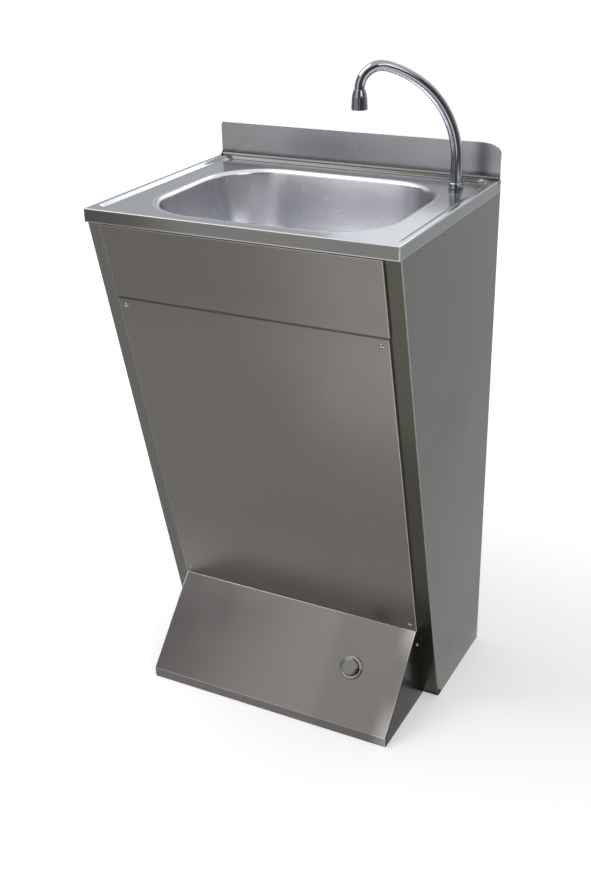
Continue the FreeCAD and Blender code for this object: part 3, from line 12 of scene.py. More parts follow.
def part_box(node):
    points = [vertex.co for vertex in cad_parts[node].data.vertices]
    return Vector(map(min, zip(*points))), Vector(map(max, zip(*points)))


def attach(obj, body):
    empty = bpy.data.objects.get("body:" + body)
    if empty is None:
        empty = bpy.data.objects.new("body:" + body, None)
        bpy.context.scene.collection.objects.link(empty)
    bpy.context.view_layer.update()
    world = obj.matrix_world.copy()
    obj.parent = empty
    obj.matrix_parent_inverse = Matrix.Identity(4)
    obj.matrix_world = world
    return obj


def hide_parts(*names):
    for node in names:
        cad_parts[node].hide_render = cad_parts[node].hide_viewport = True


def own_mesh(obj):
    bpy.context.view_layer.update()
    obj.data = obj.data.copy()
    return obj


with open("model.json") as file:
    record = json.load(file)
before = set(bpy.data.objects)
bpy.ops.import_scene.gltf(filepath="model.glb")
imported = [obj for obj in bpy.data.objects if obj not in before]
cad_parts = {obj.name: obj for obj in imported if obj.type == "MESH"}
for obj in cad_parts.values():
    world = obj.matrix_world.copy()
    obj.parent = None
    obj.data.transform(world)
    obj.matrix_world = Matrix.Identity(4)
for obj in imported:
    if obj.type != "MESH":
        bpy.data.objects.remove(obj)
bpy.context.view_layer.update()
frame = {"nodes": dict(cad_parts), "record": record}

# ---- sizes read from the frame, in metres ----
TOP_LOW, TOP_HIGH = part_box("worktop")
BOWL_LOW, BOWL_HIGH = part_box("bowl")
TAP_LOW, TAP_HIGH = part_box("tap_base")
FASCIA_LOW, FASCIA_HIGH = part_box("front_fascia")
ACCESS_LOW, ACCESS_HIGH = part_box("access_panel")
SIDE_LOW, SIDE_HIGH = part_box("side_panel_right")
TOE_LOW, TOE_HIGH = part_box("toe_cover")
BEZEL_LOW, BEZEL_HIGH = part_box("button_bezel")
SEAT_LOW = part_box("waste_gasket_upper")[0]

HALF_WIDTH, BACK = TOP_HIGH.x, TOP_HIGH.y
FRONT = TOP_LOW.y
UPSTAND_TOP = TOP_HIGH.z
UPSTAND_RISE = 0.055
RIM = UPSTAND_TOP - UPSTAND_RISE
DECK = BOWL_HIGH.z
APRON_FOOT = TOP_LOW.z
SHEET = 0.0012

# ---- worktop ----
EDGE_RADIUS = 0.002
RIM_FLAT = 0.006
STEP_RUN = 0.022
REAR_STEP_RUN = 0.008
RECESS_CORNER = 0.014
STEP_ROUND = 0.010
STEP_FOOT_SHARE = 0.55
STEP_HEAD_SHARE = 0.9
LEAD_IN = 0.05
APRON_HEM = 0.008
COVE_RADIUS = 0.006
REAR_RIM_FLAT = 0.001
UPSTAND_INSET = 0.0015
UPSTAND_HEM = 0.014
LEFT_CORNER = 0.006
RIGHT_CORNER_RUN = 0.034
RIGHT_CORNER_RISE = 0.015

# ---- bowl ----
LIP_RADIUS = 0.008
LIP_FLAT = 0.002
BOWL_MIDDLE_Y = (BOWL_LOW.y + BOWL_HIGH.y) / 2
BOWL_HALF_LENGTH = BOWL_HIGH.x - LIP_RADIUS - LIP_FLAT
BOWL_HALF_WIDTH = (BOWL_HIGH.y - BOWL_LOW.y) / 2 - LIP_RADIUS - LIP_FLAT
BOWL_CORNER = 0.095
BOWL_DEPTH = 0.120
BOWL_DRAFT = 0.016
FLOOR_FILLET = 0.040
DISH_RADIUS = 0.036
DISH_LEAD = 0.01
DISH_TOP_ROUND = 0.004
DISH_FOOT_ROUND = 0.003
DISH_DEPTH = DECK - BOWL_DEPTH - SEAT_LOW.z
DRAIN_RADIUS = 0.0235

# ---- cabinet ----
PANEL_SHEET = 0.001
TRAY_DEPTH = 0.0055
TRAY_BEND = 0.0012
TRAY_LEAD = 0.01
TRAY_LEAST_CORNER = 0.0003
FLANGE_TOP_Y = SIDE_LOW.y
BASE_DEPTH = 0.197
FLANGE_FOOT_Y = BACK - BASE_DEPTH
FRONT_LEAN = atan2(FLANGE_FOOT_Y - FLANGE_TOP_Y, SIDE_HIGH.z)
SCREW_INSET = 0.012
SCREW_RISE = 0.014
SCREW_HEAD_RADIUS = 0.004
SCREW_HEAD_HEIGHT = 0.0022
SCREW_SHANK_RADIUS = 0.002
SCREW_LENGTH = 0.012

# ---- tap ----
TAP_X, TAP_Y = (TAP_LOW.x + TAP_HIGH.x) / 2, (TAP_LOW.y + TAP_HIGH.y) / 2
COLLAR_TOP = TAP_HIGH.z
COLLAR_RADIUS = (TAP_HIGH.x - TAP_LOW.x) / 2
GASKET = 0.001
SHANK_RADIUS = 0.008
SHANK_DROP = DECK - TAP_LOW.z
SPOUT_LIFT = 0.0003
SPOUT_BASE_RADIUS = 0.009
SPOUT_TIP_RADIUS = 0.0076
SPOUT_BORE_RADIUS = 0.0063
SPOUT_RISER = 0.03098
NECK_START = 0.001
SWEEP_RADIUS = 0.1485
SWEEP_TURN = radians(74.5)
CROOK_RADIUS = 0.032
OUTLET_RUN = 0.010
TAIL_RADIUS = 0.00655
TAIL_LENGTH = 0.028
TAIL_WALL = 0.0026
TAIL_GAP = 0.0001
COLLAR_FOOT_ROUND = 0.0004
COLLAR_ROUND = 0.0022
SPOUT_YAW = atan2(BOWL_MIDDLE_Y - TAP_Y, -TAP_X)
FERRULE_HEIGHT = 0.0095
FERRULE_BAND = 0.0015
FERRULE_FLARE = 0.0012
FERRULE_FLOOR = 0.002
AERATOR_TOP_RADIUS = 0.0113
AERATOR_FOOT_RADIUS = 0.0122
AERATOR_HEIGHT = 0.019
AERATOR_WALL = 0.0011
AERATOR_STEP = 0.0001
AERATOR_SHOULDER = 0.0025
AERATOR_FOOT_BAND = 0.002
AERATOR_LEDGE = 0.0012
AERATOR_LEDGE_RISE = 0.0015
FLUTE_COUNT = 24
FLUTE_DEPTH = 0.0003
FLUTE_MARGIN = 0.0001

# ---- foot button ----
TOE_LIP = 0.017
TOE_TOP_REACH = 0.0375
TOE_ANGLE = atan2(TOE_HIGH.z - TOE_LIP, -TOE_LOW.y - TOE_TOP_REACH)
BEZEL_RADIUS = (BEZEL_HIGH.x - BEZEL_LOW.x) / 2
BEZEL_HEIGHT = 0.003
BEZEL_ROUND = 0.002
BEZEL_BREAK = 0.0003
SLEEVE_RADIUS = 0.0165
BUTTON_RADIUS = 0.014
BUTTON_PROUD = 0.012
CAP_SKIRT = 0.004
CAP_WALL = 0.0015
CAP_FACE = 0.0025
CAP_FLAT = 0.009
CAP_SAG = 0.00005
CAP_FALL = 0.0004
CAP_ROUND = 0.002
CAP_BREAK = 0.0003
SPRING_SHELF = 0.014
SPRING_RADIUS = 0.009
SPRING_WIRE = 0.0008
SPRING_TURNS = 5
LOOSE_FIT = 0.0003

# ---- meshes and finishes ----
SHARP_EDGE = radians(32)
FLAT_ANGLE = radians(0.1)
TINY = 1e-6
ROUND_STEPS = 48
WAVINESS = 0.0004
GRAIN_DEPTH = 1.2e-7
NOISE_ROUGHNESS = 0.55
STREAK_ROUGHNESS = 0.012
SCRATCH_ROUGHNESS = 0.003
SPOT_ROUGHNESS = 0.05
LEAST_ROUGHNESS = 0.05
FULL_SHINE = 0.8
SOFT_BEND = 220.0
TIGHT_BEND = 520.0


# ---- curves and grids ----
def rounded_line(corners, radii, steps=8):
    """Points of a line whose inner corners are tangent arcs.

    An arc starts radius * tan(turn / 2) before its corner and swings evenly: start + radius *
    (sin(a) * old direction + (1 - cos(a)) * side), for a from nought to the turn.
    """
    corners = [np.array(corner, float) for corner in corners]
    pieces = [corners[0][None]]
    for before, corner, after, radius in zip(corners, corners[1:], corners[2:], radii):
        into = (corner - before) / np.linalg.norm(corner - before)
        out = (after - corner) / np.linalg.norm(after - corner)
        turn = np.arccos(np.clip(into @ out, -1, 1))
        if radius < TINY or turn < TINY:
            pieces.append(corner[None])
            continue
        side = out - into * (into @ out)
        side /= np.linalg.norm(side)
        swing = np.linspace(0, turn, steps + 1)[:, None]
        start = corner - into * radius * np.tan(turn / 2)
        pieces.append(start + radius * (np.sin(swing) * into + (1 - np.cos(swing)) * side))
    pieces.append(corners[-1][None])
    return np.concatenate(pieces)


def rounded_ring(half_x, half_y, corner, middle_y=0.0, z=0.0, steps=12):
    """Closed level ring: quarter circles about (half_x - corner, half_y - corner), straight between."""
    corner = max(corner, TINY)
    angles = np.linspace(0, pi / 2, steps + 1)
    arcs = []
    for turn, (sx, sy) in enumerate([(1, 1), (-1, 1), (-1, -1), (1, -1)]):
        swing = angles + turn * pi / 2
        x = sx * (half_x - corner) + corner * np.cos(swing)
        y = middle_y + sy * (half_y - corner) + corner * np.sin(swing)
        arcs.append(np.stack([x, y, np.full_like(x, z)], axis=-1))
    sides = []
    share = np.array([0.02, 0.5, 0.98])[:, None]
    for arc, following in zip(arcs, arcs[1:] + arcs[:1]):
        sides += [arc, arc[-1] + share * (following[0] - arc[-1])]
    return np.concatenate(sides)


def turned_grid(profile, count=ROUND_STEPS):
    """Profile of (radius, height) spun about Z: (r cos a, r sin a, h) for every point and angle."""
    profile = np.array(profile, float)
    angle = np.linspace(0, 2 * pi, count, endpoint=False)
    radius, height = profile[:, 0:1], profile[:, 1:2]
    return np.stack([radius * np.cos(angle), radius * np.sin(angle), height + 0 * angle], axis=-1)


def tube_grid(path, radii, reference, count=24):
    """Circles square to a path: path + r * (cos(a) * side + sin(a) * up), side = reference x tangent."""
    path = np.array(path, float)
    tangent = np.gradient(path, axis=0)
    tangent /= np.linalg.norm(tangent, axis=1, keepdims=True)
    side = np.cross(np.array(reference, float), tangent)
    side /= np.linalg.norm(side, axis=1, keepdims=True)
    up = np.cross(tangent, side)
    angle = np.linspace(0, 2 * pi, count, endpoint=False)[None, :, None]
    spread = np.cos(angle) * side[:, None] + np.sin(angle) * up[:, None]
    return path[:, None] + np.broadcast_to(radii, len(path))[:, None, None] * spread


def hollow_tube(path, outer, inner, reference, count=24):
    """A pipe's closed skin: the outer tube forwards, then the bore backwards."""
    outside = tube_grid(path, outer, reference, count)
    bore = tube_grid(path, inner, reference, count)
    return np.concatenate([outside, bore[::-1]])


def in_scene(name, data):
    """A new object at the origin, linked to the scene."""
    piece = bpy.data.objects.new(name, data)
    bpy.context.scene.collection.objects.link(piece)
    return piece


def surface(name, grids, closed=True):
    """Mesh of grids whose columns join round; rows join round too, or both ends are filled."""
    points, faces, start = [], [], 0
    for grid in grids:
        rows, columns = grid.shape[:2]
        row = np.arange(rows if closed else rows - 1)[:, None]
        column = np.arange(columns)[None]
        after_row, after_column = (row + 1) % rows, (column + 1) % columns
        quad = [row * columns + column, row * columns + after_column,
                after_row * columns + after_column, after_row * columns + column]
        faces += (start + np.stack(quad, axis=-1).reshape(-1, 4)).tolist()
        if not closed:
            ring = np.arange(columns)
            faces += [(start + ring[::-1]).tolist(), (start + (rows - 1) * columns + ring).tolist()]
        points.append(grid.reshape(-1, 3))
        start += rows * columns
    mesh = bpy.data.meshes.new(name)
    mesh.from_pydata(np.concatenate(points).tolist(), [], faces)
    return tidy_mesh(name, mesh)


def tidy_mesh(name, mesh, flats=False):
    """Joins doubled points, joins triangles into flats or turns faces outwards, and smooths the piece."""
    work = bmesh.new()
    work.from_mesh(mesh)
    bmesh.ops.remove_doubles(work, verts=work.verts, dist=TINY)
    if flats:
        bmesh.ops.dissolve_limit(work, angle_limit=FLAT_ANGLE, verts=work.verts, edges=work.edges)
    else:
        bmesh.ops.dissolve_degenerate(work, edges=work.edges, dist=TINY)
        bmesh.ops.recalc_face_normals(work, faces=work.faces)
    work.to_mesh(mesh)
    work.free()
    return smooth_faces(in_scene(name, mesh))


def read(items, label, width, kind=float):
    """One property of every item of a mesh, as an array."""
    values = np.empty(len(items) * width, kind)
    items.foreach_get(label, values)
    return values.reshape(-1, width) if width > 1 else values


def mark_bends(mesh):
    """Stores on each face how tightly the sheet is folded outwards there, from 0 to 1, as "bend".

    Across an edge the fold is the angle between the two normals times the edge's length over the
    face's area, and it counts where the faces lean away from each other. That is 1 / R on a strip
    of a bend of radius R and next to nothing on a broad flat.
    """
    edge = read(mesh.loops, "edge_index", 1, np.int32)
    owner = np.repeat(np.arange(len(mesh.polygons)), read(mesh.polygons, "loop_total", 1, np.int32))
    normal, middle = read(mesh.polygons, "normal", 3), read(mesh.polygons, "center", 3)
    ends = read(mesh.vertices, "co", 3)[read(mesh.edges, "vertices", 2, np.int32)]
    order = np.argsort(edge, kind="stable")
    pair = np.flatnonzero(edge[order][1:] == edge[order][:-1])
    shared, first, second = edge[order][pair], owner[order][pair], owner[order][pair + 1]
    length = np.linalg.norm(ends[shared, 1] - ends[shared, 0], axis=1)
    area = read(mesh.polygons, "area", 1)
    turn = np.arccos(np.clip((normal[first] * normal[second]).sum(1), -1, 1))
    outward = ((normal[second] - normal[first]) * (middle[second] - middle[first])).sum(1) > 0
    fold = np.zeros(len(mesh.polygons))
    for face in (first, second):
        np.maximum.at(fold, face, turn * outward * length / (area[face] + TINY ** 2))
    level = np.clip((fold - SOFT_BEND) / (TIGHT_BEND - SOFT_BEND), 0, 1)
    bend = mesh.attributes.new("bend", "FLOAT", "CORNER")
    bend.data.foreach_set("value", level[owner])


def smooth_faces(piece):
    """Smooth shading that keeps flats flat: big faces lead the normals and sharp edges split them."""
    mesh = piece.data
    mark_bends(mesh)
    mesh.polygons.foreach_set("use_smooth", np.ones(len(mesh.polygons), bool))
    mesh.set_sharp_from_angle(angle=SHARP_EDGE)
    weighted = piece.modifiers.new("even flats", "WEIGHTED_NORMAL")
    weighted.keep_sharp = True
    return piece


def joined_copy(node):
    """A copy of a frame node with its loose triangles joined into whole flats, ready for smooth shading."""
    mesh = frame["nodes"][node].data.copy()
    mesh.materials.clear()
    return tidy_mesh(node + "_dressed", mesh, flats=True)


def body_of(node):
    """The moving body that a frame node belongs to."""
    for body, nodes in frame["record"]["behaviour"]["bodies"].items():
        if node in nodes:
            return body
    raise ValueError(node)


def slot_of(node):
    """The record's material slot of a frame node."""
    return next(part["material_slot"] for part in frame["record"]["subparts"] if part["node"] == node)


def stand_for(piece, node, finish=None):
    """Gives a piece its own finish, or its node's or slot's, and lets it stand for a frame node."""
    piece.data.materials.append(finish or FINISHES.get(node) or FINISHES[slot_of(node)])
    STOOD_FOR.add(node)
    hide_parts(node)
    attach(piece, body_of(node))
    return piece


# ---- places ----
def placed(points, turn_x=0.0, turn_z=0.0, at=(0, 0, 0)):
    """Points turned about X, then about Z, then shifted."""
    turn = Matrix.Rotation(turn_z, 3, "Z") @ Matrix.Rotation(turn_x, 3, "X")
    return points @ np.array(turn).T + np.array(at)


def on_front(points):
    """Sets points on the leaning front: Y = 0 is the flange face and Z runs up the slope."""
    return placed(points, turn_x=FRONT_LEAN, at=(0, FLANGE_FOOT_Y, 0))


def up_slope(y, z):
    """Distance up the leaning front of a point beside it."""
    return (y - FLANGE_FOOT_Y) * -sin(FRONT_LEAN) + z * cos(FRONT_LEAN)


def button_place():
    """Centre of the bezel's foot on the toe slope, from the foot's rearmost and lowest points."""
    across = (BEZEL_LOW.x + BEZEL_HIGH.x) / 2
    y = BEZEL_HIGH.y - BEZEL_RADIUS * cos(TOE_ANGLE)
    z = BEZEL_LOW.z + BEZEL_RADIUS * sin(TOE_ANGLE)
    return Vector((across, y, z))


def on_toe(points):
    """Sets points on the toe slope: the origin is the button's centre and Z points at the foot."""
    return placed(points, turn_x=TOE_ANGLE, at=button_place())


def on_tap(points, yaw=0.0):
    """Sets points round Z, with Z = 0 on the deck, on the tap's axis."""
    return placed(points, turn_z=yaw, at=(TAP_X, TAP_Y, DECK))


# ---- worktop and bowl ----
def upper_skin():
    """Rings of the top's upper face, from the bowl's mouth out over the step and rim to the hem."""
    mouth = LIP_RADIUS + LIP_FLAT
    rear_rim = COVE_RADIUS + 2 * SHEET + REAR_RIM_FLAT
    step = rounded_line([(0, DECK), (STEP_RUN * STEP_FOOT_SHARE, DECK),
                         (STEP_RUN * STEP_HEAD_SHARE, RIM), (2 * STEP_RUN, RIM)],
                        [STEP_ROUND, STEP_ROUND / 4])
    step = step[(step[:, 0] > TINY) & (step[:, 0] < 2 * STEP_RUN - TINY)]
    rings = [rounded_ring(BOWL_HALF_LENGTH + mouth, BOWL_HALF_WIDTH + mouth, BOWL_CORNER + mouth,
                          BOWL_MIDDLE_Y, DECK)]
    for run, z in np.concatenate([[(0.0, DECK)], step, [(STEP_RUN, RIM)]]):
        share = run / STEP_RUN
        half_x = HALF_WIDTH - RIM_FLAT - STEP_RUN + run
        low = FRONT + RIM_FLAT + STEP_RUN - run
        high = BACK - rear_rim - REAR_STEP_RUN * (1 - share)
        rings.append(rounded_ring(half_x, (high - low) / 2, RECESS_CORNER + share * STEP_RUN / 2,
                                  (low + high) / 2, z))
    return rings


def edge_skin():
    """Rings of the rounded outer edge, the apron, its hem and the underside back to the mouth."""
    outer = rounded_line([(LEAD_IN, RIM), (0, RIM), (0, APRON_FOOT), (APRON_HEM, APRON_FOOT),
                          (APRON_HEM, APRON_FOOT + SHEET), (SHEET, APRON_FOOT + SHEET),
                          (SHEET, RIM - SHEET), (RIM_FLAT, RIM - SHEET)],
                         [EDGE_RADIUS, SHEET / 2, 0, 0, 0, SHEET], 6)
    rings = []
    for inset, z in outer[1:]:
        ring = rounded_ring(HALF_WIDTH - inset, BACK - inset, max(EDGE_RADIUS - inset, SHEET / 4), 0, z)
        at_back = ring[:, 1] > BACK - inset - TINY
        ring[at_back, 1] = BACK
        ring[at_back, 2] = np.maximum(ring[at_back, 2], RIM - SHEET)
        rings.append(ring)
    return rings


def worktop_sheet():
    """Pressed top as one closed ring stack; the underside repeats the upper rings one sheet lower."""
    upper = upper_skin()
    under = [ring - (0, 0, SHEET) for ring in upper[::-1]]
    return np.stack(upper + edge_skin() + under)


def upstand_sheet():
    """Coved upstand: a profile in (y, z) carried along X, its top following the rounded corners.

    The height above the cove is scaled by (top(x) - cove) / (top - cove), where top(x) falls by a
    quarter circle on the left and by a quarter ellipse on the right.
    """
    half = HALF_WIDTH - UPSTAND_INSET
    face, cove_top = BACK - 2 * SHEET, RIM + COVE_RADIUS
    profile = rounded_line([(face - COVE_RADIUS, RIM), (face, RIM), (face, UPSTAND_TOP), (BACK, UPSTAND_TOP),
                            (BACK, UPSTAND_TOP - UPSTAND_HEM), (BACK - SHEET, UPSTAND_TOP - UPSTAND_HEM),
                            (BACK - SHEET, RIM)], [COVE_RADIUS, SHEET * 0.98, SHEET * 0.98, 0, 0])
    bend = (1 - np.cos(np.linspace(0, pi / 2, 14)))
    left = -half + LEFT_CORNER * bend
    right = half - RIGHT_CORNER_RUN * bend[::-1]
    x = np.concatenate([left, np.linspace(left[-1], right[0], 9)[1:-1], right])
    fall = np.zeros_like(x)
    on_left, on_right = x < left[-1], x > right[0]
    fall[on_left] = LEFT_CORNER * (1 - np.sqrt(1 - ((left[-1] - x[on_left]) / LEFT_CORNER) ** 2))
    reach = np.clip((x[on_right] - right[0]) / RIGHT_CORNER_RUN, 0, 1)
    fall[on_right] = RIGHT_CORNER_RISE * (1 - np.sqrt(1 - reach ** 2))
    keep = (UPSTAND_TOP - fall - cove_top) / (UPSTAND_TOP - cove_top)
    y, z = profile[:, 0], profile[:, 1]
    lifted = np.where(z > cove_top, cove_top + (z - cove_top) * keep[:, None], z)
    return np.stack([np.broadcast_to(x[:, None], lifted.shape),
                     np.broadcast_to(y, lifted.shape), lifted], axis=-1)


def build_worktop():
    """The pressed top and its upstand, each with its finish."""
    top = surface("worktop_top", [worktop_sheet()])
    rear = surface("worktop_upstand", [upstand_sheet()], closed=False)
    stand_for(top, "worktop")
    stand_for(rear, "worktop", FINISHES["upstand"])


def bowl_skin(grow):
    """Rings of the bowl's skin: inset = depth * draft / full depth - grow, rounded at lip and floor."""
    slope = BOWL_DRAFT / BOWL_DEPTH
    floor = BOWL_DEPTH + grow
    flat = (BOWL_HALF_WIDTH + BOWL_DRAFT) / 2
    lip = LIP_RADIUS - grow
    line = rounded_line([(-LIP_RADIUS - LIP_FLAT, grow), (slope * grow - grow, grow),
                         (slope * floor - grow, floor), (flat, floor)],
                        [lip, FLOOR_FILLET + grow], 16)
    rings = [rounded_ring(BOWL_HALF_LENGTH - inset, BOWL_HALF_WIDTH - inset, BOWL_CORNER - inset,
                          BOWL_MIDDLE_Y, DECK - depth) for inset, depth in line[:-1]]
    count = len(rings[0])
    dish = rounded_line([(DISH_RADIUS + DISH_DEPTH + DISH_LEAD, floor), (DISH_RADIUS + DISH_DEPTH, floor),
                         (DISH_RADIUS, floor + DISH_DEPTH), (DRAIN_RADIUS, floor + DISH_DEPTH)],
                        [DISH_TOP_ROUND, DISH_FOOT_ROUND], 6)
    outline = rings[-1] - (0, BOWL_MIDDLE_Y, 0)
    angle = np.arctan2(outline[:, 1], outline[:, 0])
    for radius, depth in dish:
        ring = np.stack([radius * np.cos(angle), BOWL_MIDDLE_Y + radius * np.sin(angle),
                         np.full(count, DECK - depth)], axis=-1)
        rings.append(ring)
    return rings


def build_bowl():
    """Drawn basin: inner skin down to the drain hole, then the outer skin back up to the lip."""
    rings = bowl_skin(0) + bowl_skin(SHEET)[::-1]
    stand_for(surface("bowl_drawn", [np.stack(rings)]), "bowl")


# ---- cabinet ----
def tray_grid(half, foot, top):
    """Folded tray on the front: rings from the middle of its face, round the bends, in and back.

    Each ring is a rounded rectangle across the front, pushed out along -Y by its profile's depth.
    """
    middle, half_rise = (foot + top) / 2, (top - foot) / 2
    profile = rounded_line([(TRAY_LEAD, -TRAY_DEPTH), (0, -TRAY_DEPTH), (0, 0), (PANEL_SHEET, 0),
                            (PANEL_SHEET, PANEL_SHEET - TRAY_DEPTH), (TRAY_LEAD, PANEL_SHEET - TRAY_DEPTH)],
                           [TRAY_BEND, 0, 0, 0], 6)
    rings = []
    for inset, depth in profile:
        corner = max(TRAY_BEND - inset, TRAY_LEAST_CORNER)
        ring = rounded_ring(half - inset, half_rise - inset, corner, 0, 0, 4)
        rings.append(np.stack([ring[:, 0], np.full(len(ring), depth), middle + ring[:, 1]], axis=-1))
    return on_front(np.stack(rings))


def tray_span(low, high):
    """Foot and top of a tray up the slope, from the corners of its box."""
    foot = up_slope(high.y, low.z)
    top = up_slope(low.y, high.z)
    return foot, top


def build_front_trays():
    """The fixed fascia and the screwed access panel below it."""
    trays = ("front_fascia", FASCIA_LOW, FASCIA_HIGH), ("access_panel", ACCESS_LOW, ACCESS_HIGH)
    for node, low, high in trays:
        foot, top = tray_span(low, high)
        stand_for(surface(node + "_tray", [tray_grid(high.x, foot, top)], closed=False), node)


def screw_profile(head_radius, head_height, shank, length):
    """Domed head over a shank: the dome's radius is (r * r + h * h) / (2 * h)."""
    dome = (head_radius ** 2 + head_height ** 2) / (2 * head_height)
    reach = np.linspace(0, head_radius, 9)
    height = head_height - dome + np.sqrt(dome ** 2 - reach ** 2)
    head = np.stack([np.maximum(reach, TINY * 2), height], axis=-1)
    return np.concatenate([head, [(shank, 0), (shank, -length), (TINY * 2, -length)]])


def build_panel_screws():
    """Four domed screws at the access panel's corners."""
    foot, top = tray_span(ACCESS_LOW, ACCESS_HIGH)
    across = ACCESS_HIGH.x - SCREW_INSET
    profile = screw_profile(SCREW_HEAD_RADIUS, SCREW_HEAD_HEIGHT, SCREW_SHANK_RADIUS, SCREW_LENGTH)
    one = placed(turned_grid(profile, 24), turn_x=pi / 2)
    grids = [on_front(one + (side * across, -TRAY_DEPTH, rise))
             for side in (-1, 1) for rise in (foot + SCREW_RISE, top - SCREW_RISE)]
    stand_for(surface("panel_screw_heads", grids, closed=False), "panel_screws")


# ---- tap ----
def swan_neck():
    """Centre line: up the riser, an arc of the wide sweep, an arc of the crook, then straight down."""
    foot = COLLAR_TOP + SPOUT_LIFT - DECK
    bend = foot + SPOUT_RISER
    sweep = np.linspace(0, SWEEP_TURN, 40)
    crook = np.linspace(SWEEP_TURN, pi, 28)[1:]
    sweep_x, sweep_z = SWEEP_RADIUS * (1 - np.cos(sweep)), bend + SWEEP_RADIUS * np.sin(sweep)
    middle_x = sweep_x[-1] + CROOK_RADIUS * cos(SWEEP_TURN)
    middle_z = sweep_z[-1] - CROOK_RADIUS * sin(SWEEP_TURN)
    crook_x, crook_z = middle_x - CROOK_RADIUS * np.cos(crook), middle_z + CROOK_RADIUS * np.sin(crook)
    x = np.concatenate([[0, 0, 0], sweep_x, crook_x, [crook_x[-1]]])
    z = np.concatenate([[foot, foot + NECK_START, foot + SPOUT_RISER / 2], sweep_z, crook_z,
                        [crook_z[-1] - OUTLET_RUN]])
    return np.stack([x, np.zeros_like(x), z], axis=-1)


def build_spout():
    """Swan neck tube that tapers along its length, with the tail that turns in the base."""
    path = swan_neck()
    steps = np.linalg.norm(np.diff(path, axis=0), axis=1)
    along = np.concatenate([[0], np.cumsum(steps)]) / steps.sum()
    outer = SPOUT_BASE_RADIUS + (SPOUT_TIP_RADIUS - SPOUT_BASE_RADIUS) * along
    tube = hollow_tube(path, outer, SPOUT_BORE_RADIUS, (0, 1, 0), 40)
    tail_foot = COLLAR_TOP - DECK - TAIL_LENGTH
    top = path[0, 2]
    inner = TAIL_RADIUS - TAIL_WALL
    tail = turned_grid([(TAIL_RADIUS, tail_foot), (TAIL_RADIUS, top), (inner, top), (inner, tail_foot)])
    piece = surface("spout_neck", [on_tap(tube, SPOUT_YAW), on_tap(tail)])
    stand_for(piece, "spout")


def on_outlet(points):
    """Sets points round Z, with Z = 0 at the tube's end, on the spout's outlet."""
    end = swan_neck()[-1]
    return on_tap(points + end, SPOUT_YAW)


def build_outlet():
    """Flared ferrule and the fluted aerator sleeve below it."""
    rim, tip = AERATOR_TOP_RADIUS, SPOUT_TIP_RADIUS
    ferrule = rounded_line([(SPOUT_BORE_RADIUS, 0), (rim, 0), (rim, FERRULE_BAND),
                            (tip + FERRULE_FLARE, FERRULE_HEIGHT), (tip, FERRULE_HEIGHT),
                            (tip, FERRULE_FLOOR), (SPOUT_BORE_RADIUS, FERRULE_FLOOR)],
                           [0.0003, 0.0008, 0.0004, 0, 0], 4)
    stand_for(surface("outlet_ferrule", [on_outlet(turned_grid(ferrule))]), "spout_ferrule")
    low, foot = -AERATOR_HEIGHT, AERATOR_FOOT_RADIUS
    inner = rim - AERATOR_WALL
    ledge, ledge_top = inner - AERATOR_LEDGE, low + AERATOR_LEDGE_RISE
    sleeve = rounded_line([(inner, 0), (rim, 0), (rim + AERATOR_STEP, -AERATOR_SHOULDER),
                           (foot, low + AERATOR_FOOT_BAND), (foot, low), (ledge, low), (ledge, ledge_top),
                           (inner, ledge_top)],
                          [0.0004, 0, 0, 0.0006, 0.0003, 0, 0], 4)
    grid = turned_grid(sleeve, FLUTE_COUNT * 8)
    angle = np.arctan2(grid[..., 1], grid[..., 0])
    reach, height = np.hypot(grid[..., 0], grid[..., 1]), grid[..., 2]
    between = (height < FLUTE_MARGIN - AERATOR_SHOULDER) & (height > low + AERATOR_FOOT_BAND - FLUTE_MARGIN)
    fluted = (reach > inner + AERATOR_WALL / 2) & between
    groove = FLUTE_DEPTH * np.maximum(0, np.cos(FLUTE_COUNT * angle)) ** 2 * fluted
    grid[..., :2] *= ((reach - groove) / reach)[..., None]
    stand_for(surface("aerator_sleeve", [on_outlet(grid)]), "aerator_housing")


def build_tap_base():
    """Collar with a rolled top edge, and the shank below the deck."""
    top = COLLAR_TOP - DECK
    bore = TAIL_RADIUS + TAIL_GAP
    profile = rounded_line([(bore, -SHANK_DROP), (SHANK_RADIUS, -SHANK_DROP), (SHANK_RADIUS, GASKET),
                            (COLLAR_RADIUS, GASKET), (COLLAR_RADIUS, top), (bore, top)],
                           [0, 0, COLLAR_FOOT_ROUND, COLLAR_ROUND], 8)
    stand_for(surface("tap_collar", [on_tap(turned_grid(profile, 64))]), "tap_base")


# ---- foot button ----
def build_button():
    """Rounded bezel ring and the domed cap that moves in it."""
    bezel = rounded_line([(SLEEVE_RADIUS, 0), (BEZEL_RADIUS, 0), (BEZEL_RADIUS, BEZEL_HEIGHT),
                          (SLEEVE_RADIUS, BEZEL_HEIGHT)], [0, BEZEL_ROUND], 8)
    broken_edge = [(SLEEVE_RADIUS + BEZEL_BREAK, BEZEL_HEIGHT), (SLEEVE_RADIUS, BEZEL_HEIGHT - BEZEL_BREAK)]
    bezel = np.concatenate([bezel[:-1], broken_edge])
    stand_for(surface("bezel_ring", [on_toe(turned_grid(bezel, 72))]), "button_bezel")
    inside, ceiling = BUTTON_RADIUS - CAP_WALL, BUTTON_PROUD - CAP_FACE
    cap = rounded_line([(0, BUTTON_PROUD), (CAP_FLAT, BUTTON_PROUD - CAP_SAG),
                        (BUTTON_RADIUS, BUTTON_PROUD - CAP_FALL), (BUTTON_RADIUS, -CAP_SKIRT),
                        (inside, -CAP_SKIRT), (inside, ceiling), (0, ceiling)],
                       [0, CAP_ROUND, CAP_BREAK, CAP_BREAK, 0], 8)
    cap[:, 0] = np.maximum(cap[:, 0], 2 * TINY)
    stand_for(surface("cap_shell", [on_toe(turned_grid(cap, 72))], closed=False), "button_cap")


